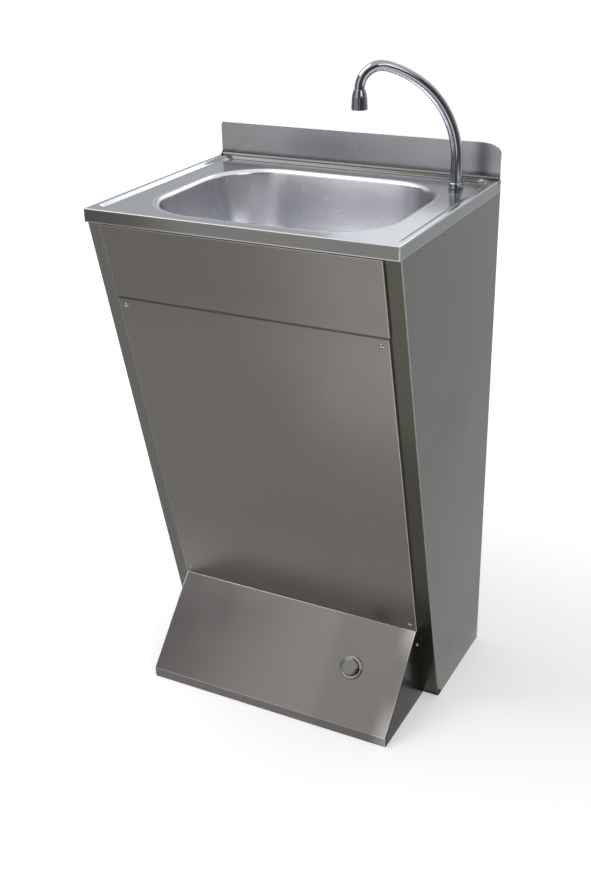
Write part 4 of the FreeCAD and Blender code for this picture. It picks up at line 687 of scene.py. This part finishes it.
def build_spring():
    """Coil spring: a wire carried along (R cos a, R sin a, rise), squeezed as the button goes in."""
    foot = -SPRING_SHELF + SPRING_WIRE + LOOSE_FIT
    top = BUTTON_PROUD - CAP_FACE - SPRING_WIRE - LOOSE_FIT
    turn = np.linspace(0, 1, SPRING_TURNS * 28)
    angle = 2 * pi * SPRING_TURNS * turn
    path = np.stack([SPRING_RADIUS * np.cos(angle), SPRING_RADIUS * np.sin(angle),
                     foot + (top - foot) * turn], axis=-1)
    wire = surface("spring_wire", [on_toe(tube_grid(path, SPRING_WIRE, (0, 0, 1), 10))], closed=False)
    stand_for(wire, "valve_spring")
    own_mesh(wire)


# ---- shader groups ----
def new_group(name, inputs, outputs):
    """An empty shader group with inputs (name, default) and plain values as outputs."""
    group = bpy.data.node_groups.new(name, "ShaderNodeTree")
    for label, default in inputs:
        kind = "NodeSocketVector" if isinstance(default, tuple) else "NodeSocketFloat"
        group.interface.new_socket(label, in_out="INPUT", socket_type=kind).default_value = default
    for label in outputs:
        group.interface.new_socket(label, in_out="OUTPUT", socket_type="NodeSocketFloat")
    return group, group.nodes.new("NodeGroupInput"), group.nodes.new("NodeGroupOutput")


def feed(tree, socket, value):
    """Links a socket to another one, or sets it to a plain value."""
    if isinstance(value, bpy.types.NodeSocket):
        tree.links.new(value, socket)
    else:
        socket.default_value = value


def math(tree, kind, first, second=0.0, clamp=False):
    """One arithmetic node; arguments are sockets or numbers."""
    node = tree.nodes.new("ShaderNodeMath")
    node.operation, node.use_clamp = kind, clamp
    feed(tree, node.inputs[0], first)
    feed(tree, node.inputs[1], second)
    return node.outputs[0]


def plus(tree, first, second):
    """Sum of two sockets or numbers."""
    return math(tree, "ADD", first, second)


def times(tree, first, second, clamp=False):
    """Product of two sockets or numbers."""
    return math(tree, "MULTIPLY", first, second, clamp)


def vector_math(tree, kind, first, second=(0.0, 0.0, 0.0)):
    """One vector node; the second argument is a socket or a vector."""
    node = tree.nodes.new("ShaderNodeVectorMath")
    node.operation = kind
    feed(tree, node.inputs[0], first)
    feed(tree, node.inputs[1], second)
    return node.outputs["Value" if kind in ("DOT_PRODUCT", "LENGTH") else "Vector"]


def ranged(tree, value, before, after=(0.0, 1.0), kind="LINEAR"):
    """Maps a value from one range to another and keeps it inside; the ends are sockets or numbers."""
    node = tree.nodes.new("ShaderNodeMapRange")
    node.interpolation_type = kind
    labels = ("Value", "From Min", "From Max", "To Min", "To Max")
    for label, given in zip(labels, (value, *before, *after)):
        feed(tree, node.inputs[label], given)
    return node.outputs[0]


def noise(tree, vector, scale, detail):
    """Noise value of a vector; scale is a socket or a number."""
    node = tree.nodes.new("ShaderNodeTexNoise")
    labels = ("Vector", "Scale", "Detail", "Roughness")
    for label, value in zip(labels, (vector, scale, detail, NOISE_ROUGHNESS)):
        feed(tree, node.inputs[label], value)
    return node.outputs["Fac"]


def object_place(tree):
    """Object coordinates."""
    return tree.nodes.new("ShaderNodeTexCoord").outputs["Object"]


def stretched(tree, stretch):
    """Object coordinates multiplied by a stretch."""
    return vector_math(tree, "MULTIPLY", object_place(tree), stretch)


def brushed_grain_group():
    """Brushed grain: noise drawn out along one direction, as a fine and a coarse streak."""
    group, given, result = new_group("brushed grain", [("Stretch", (6.0, 900.0, 900.0))], ["Fine", "Coarse"])
    place = stretched(group, given.outputs["Stretch"])
    group.links.new(noise(group, place, 1.0, 1.5), result.inputs["Fine"])
    group.links.new(noise(group, place, 0.16, 2.0), result.inputs["Coarse"])
    return group


def cloud_group():
    """Cloudy unevenness of a wiped sheet: soft noise mapped between a low and a high value."""
    group, given, result = new_group("wiped cloud", [("Scale", 6.0), ("Low", 0.0), ("High", 1.0)], ["Value"])
    value = noise(group, object_place(group), given.outputs["Scale"], 2.0)
    spread = ranged(group, value, (0.3, 0.7), (given.outputs["Low"], given.outputs["High"]))
    group.links.new(spread, result.inputs["Value"])
    return group


def scratch_group():
    """Sparse hairline scratches: lines where a noise crosses its middle, in patches of a second noise."""
    group, given, result = new_group("hairline scratches", [("Stretch", (30.0, 4.0, 30.0)), ("Amount", 0.5)],
                                     ["Mask"])
    place = stretched(group, given.outputs["Stretch"])
    ridge = math(group, "ABSOLUTE", math(group, "SUBTRACT", noise(group, place, 3.0, 2.0), 0.5))
    line = math(group, "SUBTRACT", 1.0, times(group, ridge, 240.0), clamp=True)
    patch = math(group, "GREATER_THAN", noise(group, object_place(group), 22.0, 1.0),
                 math(group, "SUBTRACT", 0.75, times(group, given.outputs["Amount"], 0.2)))
    group.links.new(times(group, line, patch), result.inputs["Mask"])
    return group


def spot_group():
    """Dried water spots: rings where the distance to scattered points nears a small radius."""
    group, given, result = new_group("water spots", [("Scale", 70.0), ("Amount", 0.5)], ["Mask"])
    cells = group.nodes.new("ShaderNodeTexVoronoi")
    group.links.new(object_place(group), cells.inputs["Vector"])
    group.links.new(given.outputs["Scale"], cells.inputs["Scale"])
    ring = math(group, "ABSOLUTE", math(group, "SUBTRACT", cells.outputs["Distance"], 0.22))
    band = math(group, "SUBTRACT", 1.0, times(group, ring, 14.0), clamp=True)
    chance = group.nodes.new("ShaderNodeSeparateColor")
    group.links.new(cells.outputs["Color"], chance.inputs[0])
    kept = math(group, "LESS_THAN", chance.outputs[0], times(group, given.outputs["Amount"], 0.5))
    group.links.new(times(group, band, kept), result.inputs["Mask"])
    return group


def fade_group():
    """A fade along a direction, in metres of Object coordinates: 0 before its start, 1 past its end."""
    inputs = [("Direction", (0.0, 0.0, 1.0)), ("Start", 0.0), ("End", 1.0)]
    group, given, result = new_group("fade along", inputs, ["Value"])
    reach = vector_math(group, "DOT_PRODUCT", object_place(group), given.outputs["Direction"])
    fade = ranged(group, reach, (given.outputs["Start"], given.outputs["End"]), kind="SMOOTHSTEP")
    group.links.new(fade, result.inputs["Value"])
    return group


def fold_wear_and_highlight_group():
    """Folds painted bright, a painted highlight with wear: the stored "bend" of the surface, broken up by
    soft noise.
    """
    group, given, result = new_group("fold wear and highlight", [("Amount", 0.8)], ["Mask"])
    bend = group.nodes.new("ShaderNodeAttribute")
    bend.attribute_name = "bend"
    patches = noise(group, object_place(group), 28.0, 3.0)
    patch = plus(group, 0.45, times(group, patches, 0.9))
    # Mask of folds painted bright: painted highlight with wear.
    worn = times(group, bend.outputs["Fac"], patch)
    group.links.new(times(group, worn, given.outputs["Amount"], clamp=True), result.inputs["Mask"])
    return group


GRAIN = brushed_grain_group()
CLOUD = cloud_group()
SCRATCH = scratch_group()
SPOTS = spot_group()
FADE = fade_group()
FOLD_WEAR_AND_HIGHLIGHT = fold_wear_and_highlight_group()


def use_group(tree, group, **values):
    """Places a group in a material, sets its inputs and gives its output, or all of them as a list."""
    node = tree.nodes.new("ShaderNodeGroup")
    node.node_tree = group
    for label, value in values.items():
        node.inputs[label].default_value = value
    return node.outputs[0] if len(node.outputs) == 1 else list(node.outputs)


def new_material(name, colour, metallic, roughness):
    """A material with a Principled shader, its tree and the shader."""
    material = bpy.data.materials.new(name)
    material.use_nodes = True
    tree = material.node_tree
    shader = tree.nodes["Principled BSDF"]
    shader.inputs["Base Color"].default_value = (*colour, 1)
    shader.inputs["Metallic"].default_value = metallic
    shader.inputs["Roughness"].default_value = roughness
    return material, tree, shader


def blend(tree, factor, first, second):
    """Mixes two colours, each a value or a socket, by a factor."""
    mix = tree.nodes.new("ShaderNodeMix")
    mix.data_type = "RGBA"
    for label, colour in (("A", first), ("B", second)):
        feed(tree, mix.inputs[label], (*colour, 1) if isinstance(colour, tuple) else colour)
    feed(tree, mix.inputs["Factor"], factor)
    return mix.outputs["Result"]


def relief(tree, height, depth, shader):
    """Bumps the surface by a height of so many metres."""
    bump = tree.nodes.new("ShaderNodeBump")
    bump.inputs["Distance"].default_value = depth
    bump.inputs["Strength"].default_value = 1.0
    tree.links.new(height, bump.inputs["Height"])
    tree.links.new(bump.outputs["Normal"], shader.inputs["Normal"])


def shade(colour, factor):
    """A colour made lighter or darker."""
    return tuple(min(1.0, channel * factor) for channel in colour)


def brighter(tree, colour, factor):
    """A colour socket multiplied by a number, no brighter than polished steel."""
    scaled = vector_math(tree, "MULTIPLY", colour, (factor, factor, factor))
    return vector_math(tree, "MINIMUM", scaled, (FULL_SHINE, FULL_SHINE, FULL_SHINE))


def grained(tree, streak, colour):
    """A sheet's colour, a little darker and lighter with the streaks of its grain."""
    return blend(tree, streak, shade(colour, 0.95), shade(colour, 1.05))


def area_share(tree, fades):
    """1 inside an area and 0 outside: the product of its fades, each (direction, start, end)."""
    share = 1.0
    for direction, start, end in fades:
        fade = use_group(tree, FADE, Direction=direction, Start=start, End=end)
        share = times(tree, fade, share)
    return share


def sheet_steel(name, colour, stretch, roughness, areas=(), wave_depth=WAVINESS, spots=0.0, fold_highlight=1.8):
    """Brushed stainless sheet: grain, wiped clouds, hairline scratches, waviness, and folds painted bright as
    highlight and wear.

    Each area is a list of fades (direction, start, end), multiplied together, with the colour there.
    """
    material, tree, shader = new_material(name, colour, 1.0, roughness)
    fine, coarse = use_group(tree, GRAIN, Stretch=stretch)
    cloud = use_group(tree, CLOUD, Scale=5.0, Low=-0.05, High=0.05)
    scratch = use_group(tree, SCRATCH, Stretch=tuple(0.04 * part + 0.4 for part in stretch), Amount=0.15)
    folds = use_group(tree, FOLD_WEAR_AND_HIGHLIGHT, Amount=0.9)
    streak = plus(tree, times(tree, fine, 0.6), times(tree, coarse, 0.4))
    base = grained(tree, streak, colour)
    for fades, other in areas:
        base = blend(tree, area_share(tree, fades), base, grained(tree, streak, other))
    # Folds painted brighter: painted highlight with wear.
    base = blend(tree, folds, base, brighter(tree, base, fold_highlight))
    tree.links.new(base, shader.inputs["Base Color"])
    rough = plus(tree, roughness, cloud)
    rough = plus(tree, rough, times(tree, math(tree, "SUBTRACT", streak, 0.5), STREAK_ROUGHNESS))
    rough = plus(tree, rough, times(tree, scratch, SCRATCH_ROUGHNESS))
    if spots:
        marks = use_group(tree, SPOTS, Scale=90.0, Amount=spots)
        rough = plus(tree, rough, times(tree, marks, SPOT_ROUGHNESS))
    tree.links.new(math(tree, "MAXIMUM", rough, LEAST_ROUGHNESS), shader.inputs["Roughness"])
    wave = noise(tree, object_place(tree), 4.0, 1.0)
    grain_height = times(tree, fine, GRAIN_DEPTH)
    relief(tree, plus(tree, times(tree, wave, wave_depth), grain_height), 1.0, shader)
    return material


def polished_plate(name, colour, roughness=0.05, dull=0.9, areas=()):
    """Polished plating with faint wiping marks and water spots, and areas of another colour."""
    material, tree, shader = new_material(name, colour, 1.0, roughness)
    cloud = use_group(tree, CLOUD, Scale=30.0, Low=0.0, High=1.0)
    marks = use_group(tree, SPOTS, Scale=180.0, Amount=0.1)
    wiped = plus(tree, roughness, times(tree, cloud, 0.03))
    rough = plus(tree, wiped, times(tree, marks, SPOT_ROUGHNESS))
    tree.links.new(rough, shader.inputs["Roughness"])
    base = blend(tree, cloud, colour, shade(colour, dull))
    for fades, other in areas:
        base = blend(tree, area_share(tree, fades), base, other)
    tree.links.new(base, shader.inputs["Base Color"])
    return material


def machined_metal(name, colour, roughness):
    """Turned or cast metal: short fine grain, dull patches, and edges painted bright as highlight and wear.
    """
    material, tree, shader = new_material(name, colour, 1.0, roughness)
    fine, coarse = use_group(tree, GRAIN, Stretch=(1400.0, 1400.0, 1400.0))
    cloud = use_group(tree, CLOUD, Scale=45.0, Low=-0.08, High=0.10)
    folds = use_group(tree, FOLD_WEAR_AND_HIGHLIGHT, Amount=0.6)
    patch = plus(tree, coarse, cloud)
    base = blend(tree, patch, shade(colour, 0.75), shade(colour, 1.2))
    # Edges painted brighter: painted highlight with wear.
    tree.links.new(blend(tree, folds, base, shade(colour, 1.5)), shader.inputs["Base Color"])
    tree.links.new(plus(tree, roughness, cloud), shader.inputs["Roughness"])
    relief(tree, fine, 4e-6, shader)
    return material


def moulded_plastic(name, colour, roughness):
    """Injection moulded plastic: fine texture and slightly uneven gloss."""
    material, tree, shader = new_material(name, colour, 0.0, roughness)
    fine = use_group(tree, GRAIN, Stretch=(2200.0, 2200.0, 2200.0))[0]
    cloud = use_group(tree, CLOUD, Scale=18.0, Low=0.0, High=1.0)
    base = blend(tree, cloud, shade(colour, 0.93), colour)
    tree.links.new(base, shader.inputs["Base Color"])
    rough = plus(tree, roughness, times(tree, cloud, 0.08))
    tree.links.new(rough, shader.inputs["Roughness"])
    relief(tree, fine, 8e-6, shader)
    return material


# ---- finishes ----
# These steel colours are one stainless steel given other tones and tints face by face, for the light and
# reflections each face catches: painted light and shade.
DECK_STEEL = (0.59, 0.63, 0.68)
APRON_SHADE_STEEL = (0.165, 0.163, 0.158)
SIDE_APRON_SHADE_STEEL = (0.265, 0.285, 0.28)
HEM_HIGHLIGHT_STEEL = (0.40, 0.41, 0.40)
COVE_SHADE_STEEL = (0.09, 0.09, 0.088)
UPSTAND_STEEL = (0.44, 0.425, 0.44)
BOWL_STEEL = (0.70, 0.705, 0.745)
BOWL_FLOOR_HIGHLIGHT_STEEL = (0.86, 0.865, 0.89)
FRONT_STEEL = (0.225, 0.205, 0.194)
TOE_STEEL = (0.23, 0.216, 0.21)
CHEEK_SHADE_STEEL = (0.032, 0.036, 0.030)
SEAM_STEEL = (0.06, 0.06, 0.056)
SIDE_STEEL = (0.142, 0.156, 0.143)
LEFT_FLANGE_PAINTED_LIGHT = (0.19, 0.195, 0.178)
RIGHT_FLANGE_PAINTED_SHADE = (0.085, 0.085, 0.068)
ACROSS, UPRIGHT = (5.0, 1100.0, 1100.0), (1100.0, 1100.0, 5.0)


def worktop_finish():
    """Bright deck, aprons painted darker as painted shade, a painted highlight on the hem and front corner,
    and painted shade along the rear step.
    """
    outer = EDGE_RADIUS * 0.9
    # Aprons painted darker: painted shade.
    sides = (((1, 0, 0), HALF_WIDTH, SIDE_APRON_SHADE_STEEL), ((-1, 0, 0), HALF_WIDTH, SIDE_APRON_SHADE_STEEL),
             ((0, -1, 0), -FRONT, APRON_SHADE_STEEL))
    apron_shades = [([(direction, reach - outer, reach - outer / 3)], colour) for direction, reach, colour in sides]
    rear = BACK - COVE_RADIUS - 2 * SHEET - REAR_RIM_FLAT - REAR_STEP_RUN
    # Painted shade along the rear step.
    cove = ([((0, 1, 0), rear - 0.003, rear + 0.001), ((0, 0, 1), DECK - SHEET, DECK)], COVE_SHADE_STEEL)
    # Painted highlight along the hem, and at the front corner below.
    hem = ([((0, 0, -1), -APRON_FOOT - 2 * SHEET, -APRON_FOOT - SHEET)], HEM_HIGHLIGHT_STEEL)
    corner = ([((1, 0, 0), HALF_WIDTH - EDGE_RADIUS, HALF_WIDTH - EDGE_RADIUS / 2),
               ((0, -1, 0), -FRONT - EDGE_RADIUS, -FRONT - EDGE_RADIUS / 2)], HEM_HIGHLIGHT_STEEL)
    areas = [*apron_shades, cove, hem, corner]
    return sheet_steel("worktop_brushed_steel", DECK_STEEL, ACROSS, 0.17, areas, spots=0.3, fold_highlight=1.3)


def upstand_finish():
    """Upstand steel with painted shade in its cove."""
    # Painted shade in the cove.
    cove = ([((0, 0, -1), -(RIM + 2 * COVE_RADIUS), -(RIM + COVE_RADIUS / 2))], COVE_SHADE_STEEL)
    return sheet_steel("upstand_brushed_steel", UPSTAND_STEEL, ACROSS, 0.27, [cove], fold_highlight=1.4)


def side_finish(side, flange_painted_tone):
    """Side panel steel whose front flange is painted in a tone of its own, as painted light and shade; side
    is 1 for the right panel and -1 for the left.
    """
    inner = ((-side, 0, 0), -(HALF_WIDTH - PANEL_SHEET), -(HALF_WIDTH - 2 * PANEL_SHEET))
    face = -cos(FRONT_LEAN) * FLANGE_FOOT_Y
    front = ((0, -cos(FRONT_LEAN), -sin(FRONT_LEAN)), face - 3 * PANEL_SHEET, face - PANEL_SHEET)
    name = "right_side_brushed_steel" if side > 0 else "left_side_brushed_steel"
    # Front flange painted its own tone: painted light on the left, painted shade on the right.
    return sheet_steel(name, SIDE_STEEL, UPRIGHT, 0.26, [([inner, front], flange_painted_tone)])


def toe_finish():
    """Toe plate steel: painted shade over its right part, painted highlights at the top and foot of its right
    edge, and cheeks painted dark as shade.
    """
    # Cheeks painted near black: painted shade.
    cheek_shades = [([((side, 0, 0), TOE_HIGH.x - SHEET, TOE_HIGH.x - SHEET / 4)], CHEEK_SHADE_STEEL) for side in (-1, 1)]
    edge = ((1, 0, 0), TOE_HIGH.x * 0.85, TOE_HIGH.x)
    upper, lower = ((0, 0, 1), TOE_HIGH.z * 0.7, TOE_HIGH.z), ((0, 0, -1), -TOE_HIGH.z / 2, -TOE_LIP)
    # Painted highlights at the top and foot of the right edge.
    edge_highlights = [([edge, reach], shade(TOE_STEEL, 1.9)) for reach in (upper, lower)]
    # Right part painted darker: painted shade.
    right_shade = ([((1, 0, 0), TOE_HIGH.x * 0.3, TOE_HIGH.x * 0.5)], shade(TOE_STEEL, 0.86))
    return sheet_steel("toe_plate_brushed_steel", TOE_STEEL, ACROSS, 0.22, [right_shade, *edge_highlights, *cheek_shades])


def bowl_finish():
    """Satin bowl with a painted shade on its right end and a painted highlight on its floor."""
    floor = DECK - BOWL_DEPTH
    # Painted highlight on the floor.
    floor_highlight = ([((0, 0, -1), -(floor + FLOOR_FILLET), -(floor + FLOOR_FILLET / 4))], BOWL_FLOOR_HIGHLIGHT_STEEL)
    # Painted shade on the right end.
    right_end_shade = ([((1, 0, 0), BOWL_HALF_LENGTH - BOWL_CORNER, BOWL_HALF_LENGTH)], shade(BOWL_STEEL, 0.66))
    areas = [right_end_shade, floor_highlight]
    return sheet_steel("bowl_satin_steel", BOWL_STEEL, ACROSS, 0.25, areas, spots=0.2, fold_highlight=1.3)


def front_finish():
    """Front sheet steel: dark along the joint of its two trays with dirt and painted shade, painted shade
    above, and painted light at its foot.
    """
    up = (0, -sin(FRONT_LEAN), cos(FRONT_LEAN))
    down = (0, sin(FRONT_LEAN), -cos(FRONT_LEAN))
    joint = tray_span(FASCIA_LOW, FASCIA_HIGH)[0] - FLANGE_FOOT_Y * sin(FRONT_LEAN)
    # Dirt and painted shade along the joint.
    seam = ([(up, joint - 2 * SHEET, joint - SHEET), (down, -joint - 2 * SHEET, -joint - SHEET)], SEAM_STEEL)
    # Upper part painted darker: painted shade.
    upper = ([((0, 0, 1), FASCIA_LOW.z - 0.06, FASCIA_LOW.z + 0.04)], shade(FRONT_STEEL, 0.9))
    # Foot painted lighter: painted light.
    foot = ([((0, 0, -1), -2.2 * ACCESS_LOW.z, -ACCESS_LOW.z)], shade(FRONT_STEEL, 1.3))
    return sheet_steel("front_brushed_steel", FRONT_STEEL, ACROSS, 0.26, [upper, foot, seam])


def cap_finish():
    """Button cap: polished side, and a face painted darker, as painted shade with wear from shoes."""
    axis = Vector((0, -sin(TOE_ANGLE), cos(TOE_ANGLE)))
    face = button_place().dot(axis) + BUTTON_PROUD
    # Face painted darker: painted shade with wear.
    worn = ([(tuple(axis), face - 0.0016, face - 0.0008)], (0.20, 0.198, 0.192))
    return polished_plate("shaded_and_worn_button_cap", (0.62, 0.62, 0.61), 0.16, 0.8, [worn])


def make_finishes():
    """One finish for each slot, and finishes of their own for the nodes that differ from their slot's."""
    finishes = {
        "worktop": worktop_finish(),
        "upstand": upstand_finish(),
        "bowl": bowl_finish(),
        "front_fascia": front_finish(),
        "toe_cover": toe_finish(),
        "side_panel_left": side_finish(-1, LEFT_FLANGE_PAINTED_LIGHT),
        "side_panel_right": side_finish(1, RIGHT_FLANGE_PAINTED_SHADE),
        "rear_top_rail": sheet_steel("rail_mill_steel", (0.30, 0.30, 0.29), ACROSS, 0.34),
        "screw_steel": machined_metal("screw_bright_steel", (0.36, 0.36, 0.36), 0.18),
        "chrome": polished_plate("polished_chrome", (0.36, 0.37, 0.40)),
        "button_bezel": polished_plate("worn_bezel_chrome", (0.30, 0.30, 0.295), 0.16, 0.7),
        "button_cap": cap_finish(),
        "aerator_housing": polished_plate("dull_aerator_chrome", (0.26, 0.265, 0.285), 0.18, 0.8),
        "brass": machined_metal("turned_brass", (0.62, 0.44, 0.19), 0.30),
        "plated_brass": machined_metal("nickel_plated_brass", (0.50, 0.47, 0.41), 0.24),
        "rubber": moulded_plastic("black_rubber", (0.022, 0.022, 0.023), 0.62),
        "plastic_white": moulded_plastic("white_trap_plastic", (0.74, 0.74, 0.71), 0.34),
        "plastic_grey": moulded_plastic("grey_aerator_plastic", (0.24, 0.25, 0.26), 0.40),
        "spring_steel": machined_metal("spring_wire_steel", (0.42, 0.42, 0.42), 0.24),
        "pipe_steel": sheet_steel("drawn_pipe_steel", (0.42, 0.42, 0.41), UPRIGHT, 0.24, wave_depth=0.0),
    }
    finishes["access_panel"] = finishes["front_fascia"]
    finishes["rear_bottom_rail"] = finishes["rear_top_rail"]
    return finishes


FINISHES = make_finishes()
STOOD_FOR = set()


def dress_remaining():
    """Every node that no piece stands for yet gets a smooth copy."""
    for node in sorted(frame["nodes"]):
        if node not in STOOD_FOR:
            stand_for(joined_copy(node), node)


# ---- floor, light and camera ----
WORLD_LEVEL = 0.55
FLOOR_HALF = 40.0
FLOOR_REACH = (0.5, 2.6)
FLOOR_GLOW = (0.34, 0.60)
CAMERA_PLACE = (0.82644, -1.57990, 1.29076)


def ray_share(tree):
    """1 for camera, glossy and transmission rays, 0 for the rest."""
    path = tree.nodes.new("ShaderNodeLightPath")
    both = math(tree, "MAXIMUM", path.outputs["Is Camera Ray"], path.outputs["Is Glossy Ray"])
    return math(tree, "MAXIMUM", both, path.outputs["Is Transmission Ray"])


def make_world(level):
    """White to the eye and in reflections; a plain level of light on matt surfaces."""
    world = bpy.data.worlds.new("studio")
    bpy.context.scene.world = world
    world.use_nodes = True
    tree = world.node_tree
    ground = tree.nodes["Background"]
    share = ray_share(tree)
    strength = plus(tree, level, times(tree, share, 1.0 - level))
    tree.links.new(strength, ground.inputs["Strength"])
    ground.inputs["Color"].default_value = (1, 1, 1, 1)


def glowing_paint(name, grey, roughness, glow):
    """Paint without gloss that can give off an even light of its own."""
    material, tree, shader = new_material(name, (grey, grey, grey), 0.0, roughness)
    shader.inputs["Specular IOR Level"].default_value = 0.0
    shader.inputs["Emission Color"].default_value = (glow, glow, glow, 1)
    return material, tree, shader


def make_floor():
    """Pale floor that keeps the shadow and turns white to the eye away from the sink."""
    half = FLOOR_HALF
    corners = [(-half, -half, 0), (half, -half, 0), (half, half, 0), (-half, half, 0)]
    mesh = bpy.data.meshes.new("floor")
    mesh.from_pydata(corners, [], [(0, 1, 2, 3)])
    floor = in_scene("floor", mesh)
    material, tree, shader = glowing_paint("pale_floor", 0.85, 0.9, 1.0)
    reach = vector_math(tree, "LENGTH", object_place(tree))
    away = ranged(tree, reach, FLOOR_REACH, FLOOR_GLOW)
    tree.links.new(times(tree, ray_share(tree), away), shader.inputs["Emission Strength"])
    mesh.materials.append(material)


def make_card(name, corners, grey):
    """Plain grey card of the studio that only metal reflects."""
    mesh = bpy.data.meshes.new(name)
    mesh.from_pydata(corners, [], [tuple(range(len(corners)))])
    card = in_scene(name, mesh)
    material, _, shader = glowing_paint(name + "_paint", 0.0, 1.0, grey)
    shader.inputs["Emission Strength"].default_value = 1.0
    mesh.materials.append(material)
    card.visible_camera = False
    card.visible_diffuse = False
    card.visible_shadow = False


def standing_card(name, first, second, low, high, grey):
    """Upright card between two foot points."""
    make_card(name, [(*first, low), (*second, low), (*second, high), (*first, high)], grey)


def floor_card(name, corners, grey):
    """Card lying just above the floor."""
    make_card(name, [(x, y, 0.001) for x, y in corners], grey)


def make_lamp(name, place, aim, size, power):
    """Soft area lamp."""
    data = bpy.data.lights.new(name, "AREA")
    data.shape, data.size, data.size_y, data.energy = "RECTANGLE", size[0], size[1], power
    lamp = in_scene(name, data)
    lamp.location = place
    lamp.rotation_euler = (Vector(place) - Vector(aim)).to_track_quat("Z", "Y").to_euler()


def make_studio():
    """White room, pale floor, an overhead key, a weak fill, a strip behind and grey cards for the metal."""
    make_world(WORLD_LEVEL)
    make_floor()
    standing_card("rear_left_card", (-2.4, 1.5), (-0.68, 1.5), 0.3, 2.0, 0.50)
    standing_card("front_left_card", (-1.02, -1.48), (-1.76, -0.97), 0.0, 2.0, 0.42)
    standing_card("camera_side_card", (0.0, -3.5), (2.9, -1.6), 0.2, 3.4, 0.10)
    standing_card("camera_right_card", (2.9, -1.6), (3.2, 0.5), 0.2, 3.0, 0.12)
    standing_card("dark_left_card", (-2.4, -1.1), (-2.4, 0.3), 0.0, 2.3, 0.08)
    standing_card("dark_right_card", (2.2, 0.5), (2.3, 1.3), 0.0, 2.3, 0.10)
    before_front = [(-2.0, -1.7), (-0.88, -1.7), (-0.33, -0.75), (-0.20, -0.55), (0.35, -0.45), (0.35, 0.0),
                    (-1.2, 0.0)]
    floor_card("front_floor_card", before_front, 0.62)
    floor_card("right_floor_card", [(0.335, 0.05), (1.5, 0.05), (2.6, 4.0), (0.26, 4.0), (0.26, 0.13)], 0.66)
    # Dark card on the floor beside the toe, seen only in reflections: a painted shadow.
    floor_card("toe_side_shadow_card", [(0.224, -0.20), (0.33, -0.20), (0.33, 0.02), (0.224, 0.02)], 0.12)
    make_lamp("key_lamp", (-1.2, -0.5, 2.6), (0, 0, 0.6), (1.6, 1.6), 30)
    make_lamp("rear_strip_lamp", (0.0, 1.9, 2.1), (0, 0, 0.8), (1.4, 0.4), 4)
    make_lamp("fill_lamp", (2.0, -1.2, 2.2), (0, 0, 0.6), (1.2, 1.2), 9)


def make_camera():
    """Camera at the photograph's angle: azimuth, elevation and a slight roll, solved from straight edges."""
    frame_height = 887
    focal_pixels = 1197.455
    azimuth, elevation, roll = radians(28.0388), radians(25.6852), radians(-1.36478)
    back = Vector((sin(azimuth) * cos(elevation), -cos(azimuth) * cos(elevation), sin(elevation)))
    right = Vector((cos(azimuth), sin(azimuth), 0))
    up = back.cross(right)
    turned_right = cos(roll) * right + sin(roll) * up
    turned_up = cos(roll) * up - sin(roll) * right
    data = bpy.data.cameras.new("photo_view")
    data.sensor_width = 36
    data.lens = data.sensor_width * focal_pixels / frame_height
    camera = in_scene("photo_view", data)
    turn = Matrix((turned_right, turned_up, back)).transposed().to_4x4()
    camera.matrix_world = Matrix.Translation(CAMERA_PLACE) @ turn
    bpy.context.scene.camera = camera


def main():
    """Builds the pieces, dresses the rest and sets the studio."""
    build_worktop()
    build_bowl()
    build_front_trays()
    build_panel_screws()
    build_spout()
    build_outlet()
    build_tap_base()
    build_button()
    build_spring()
    dress_remaining()
    make_studio()
    make_camera()
    bpy.context.scene.view_settings.view_transform = "Standard"


main()
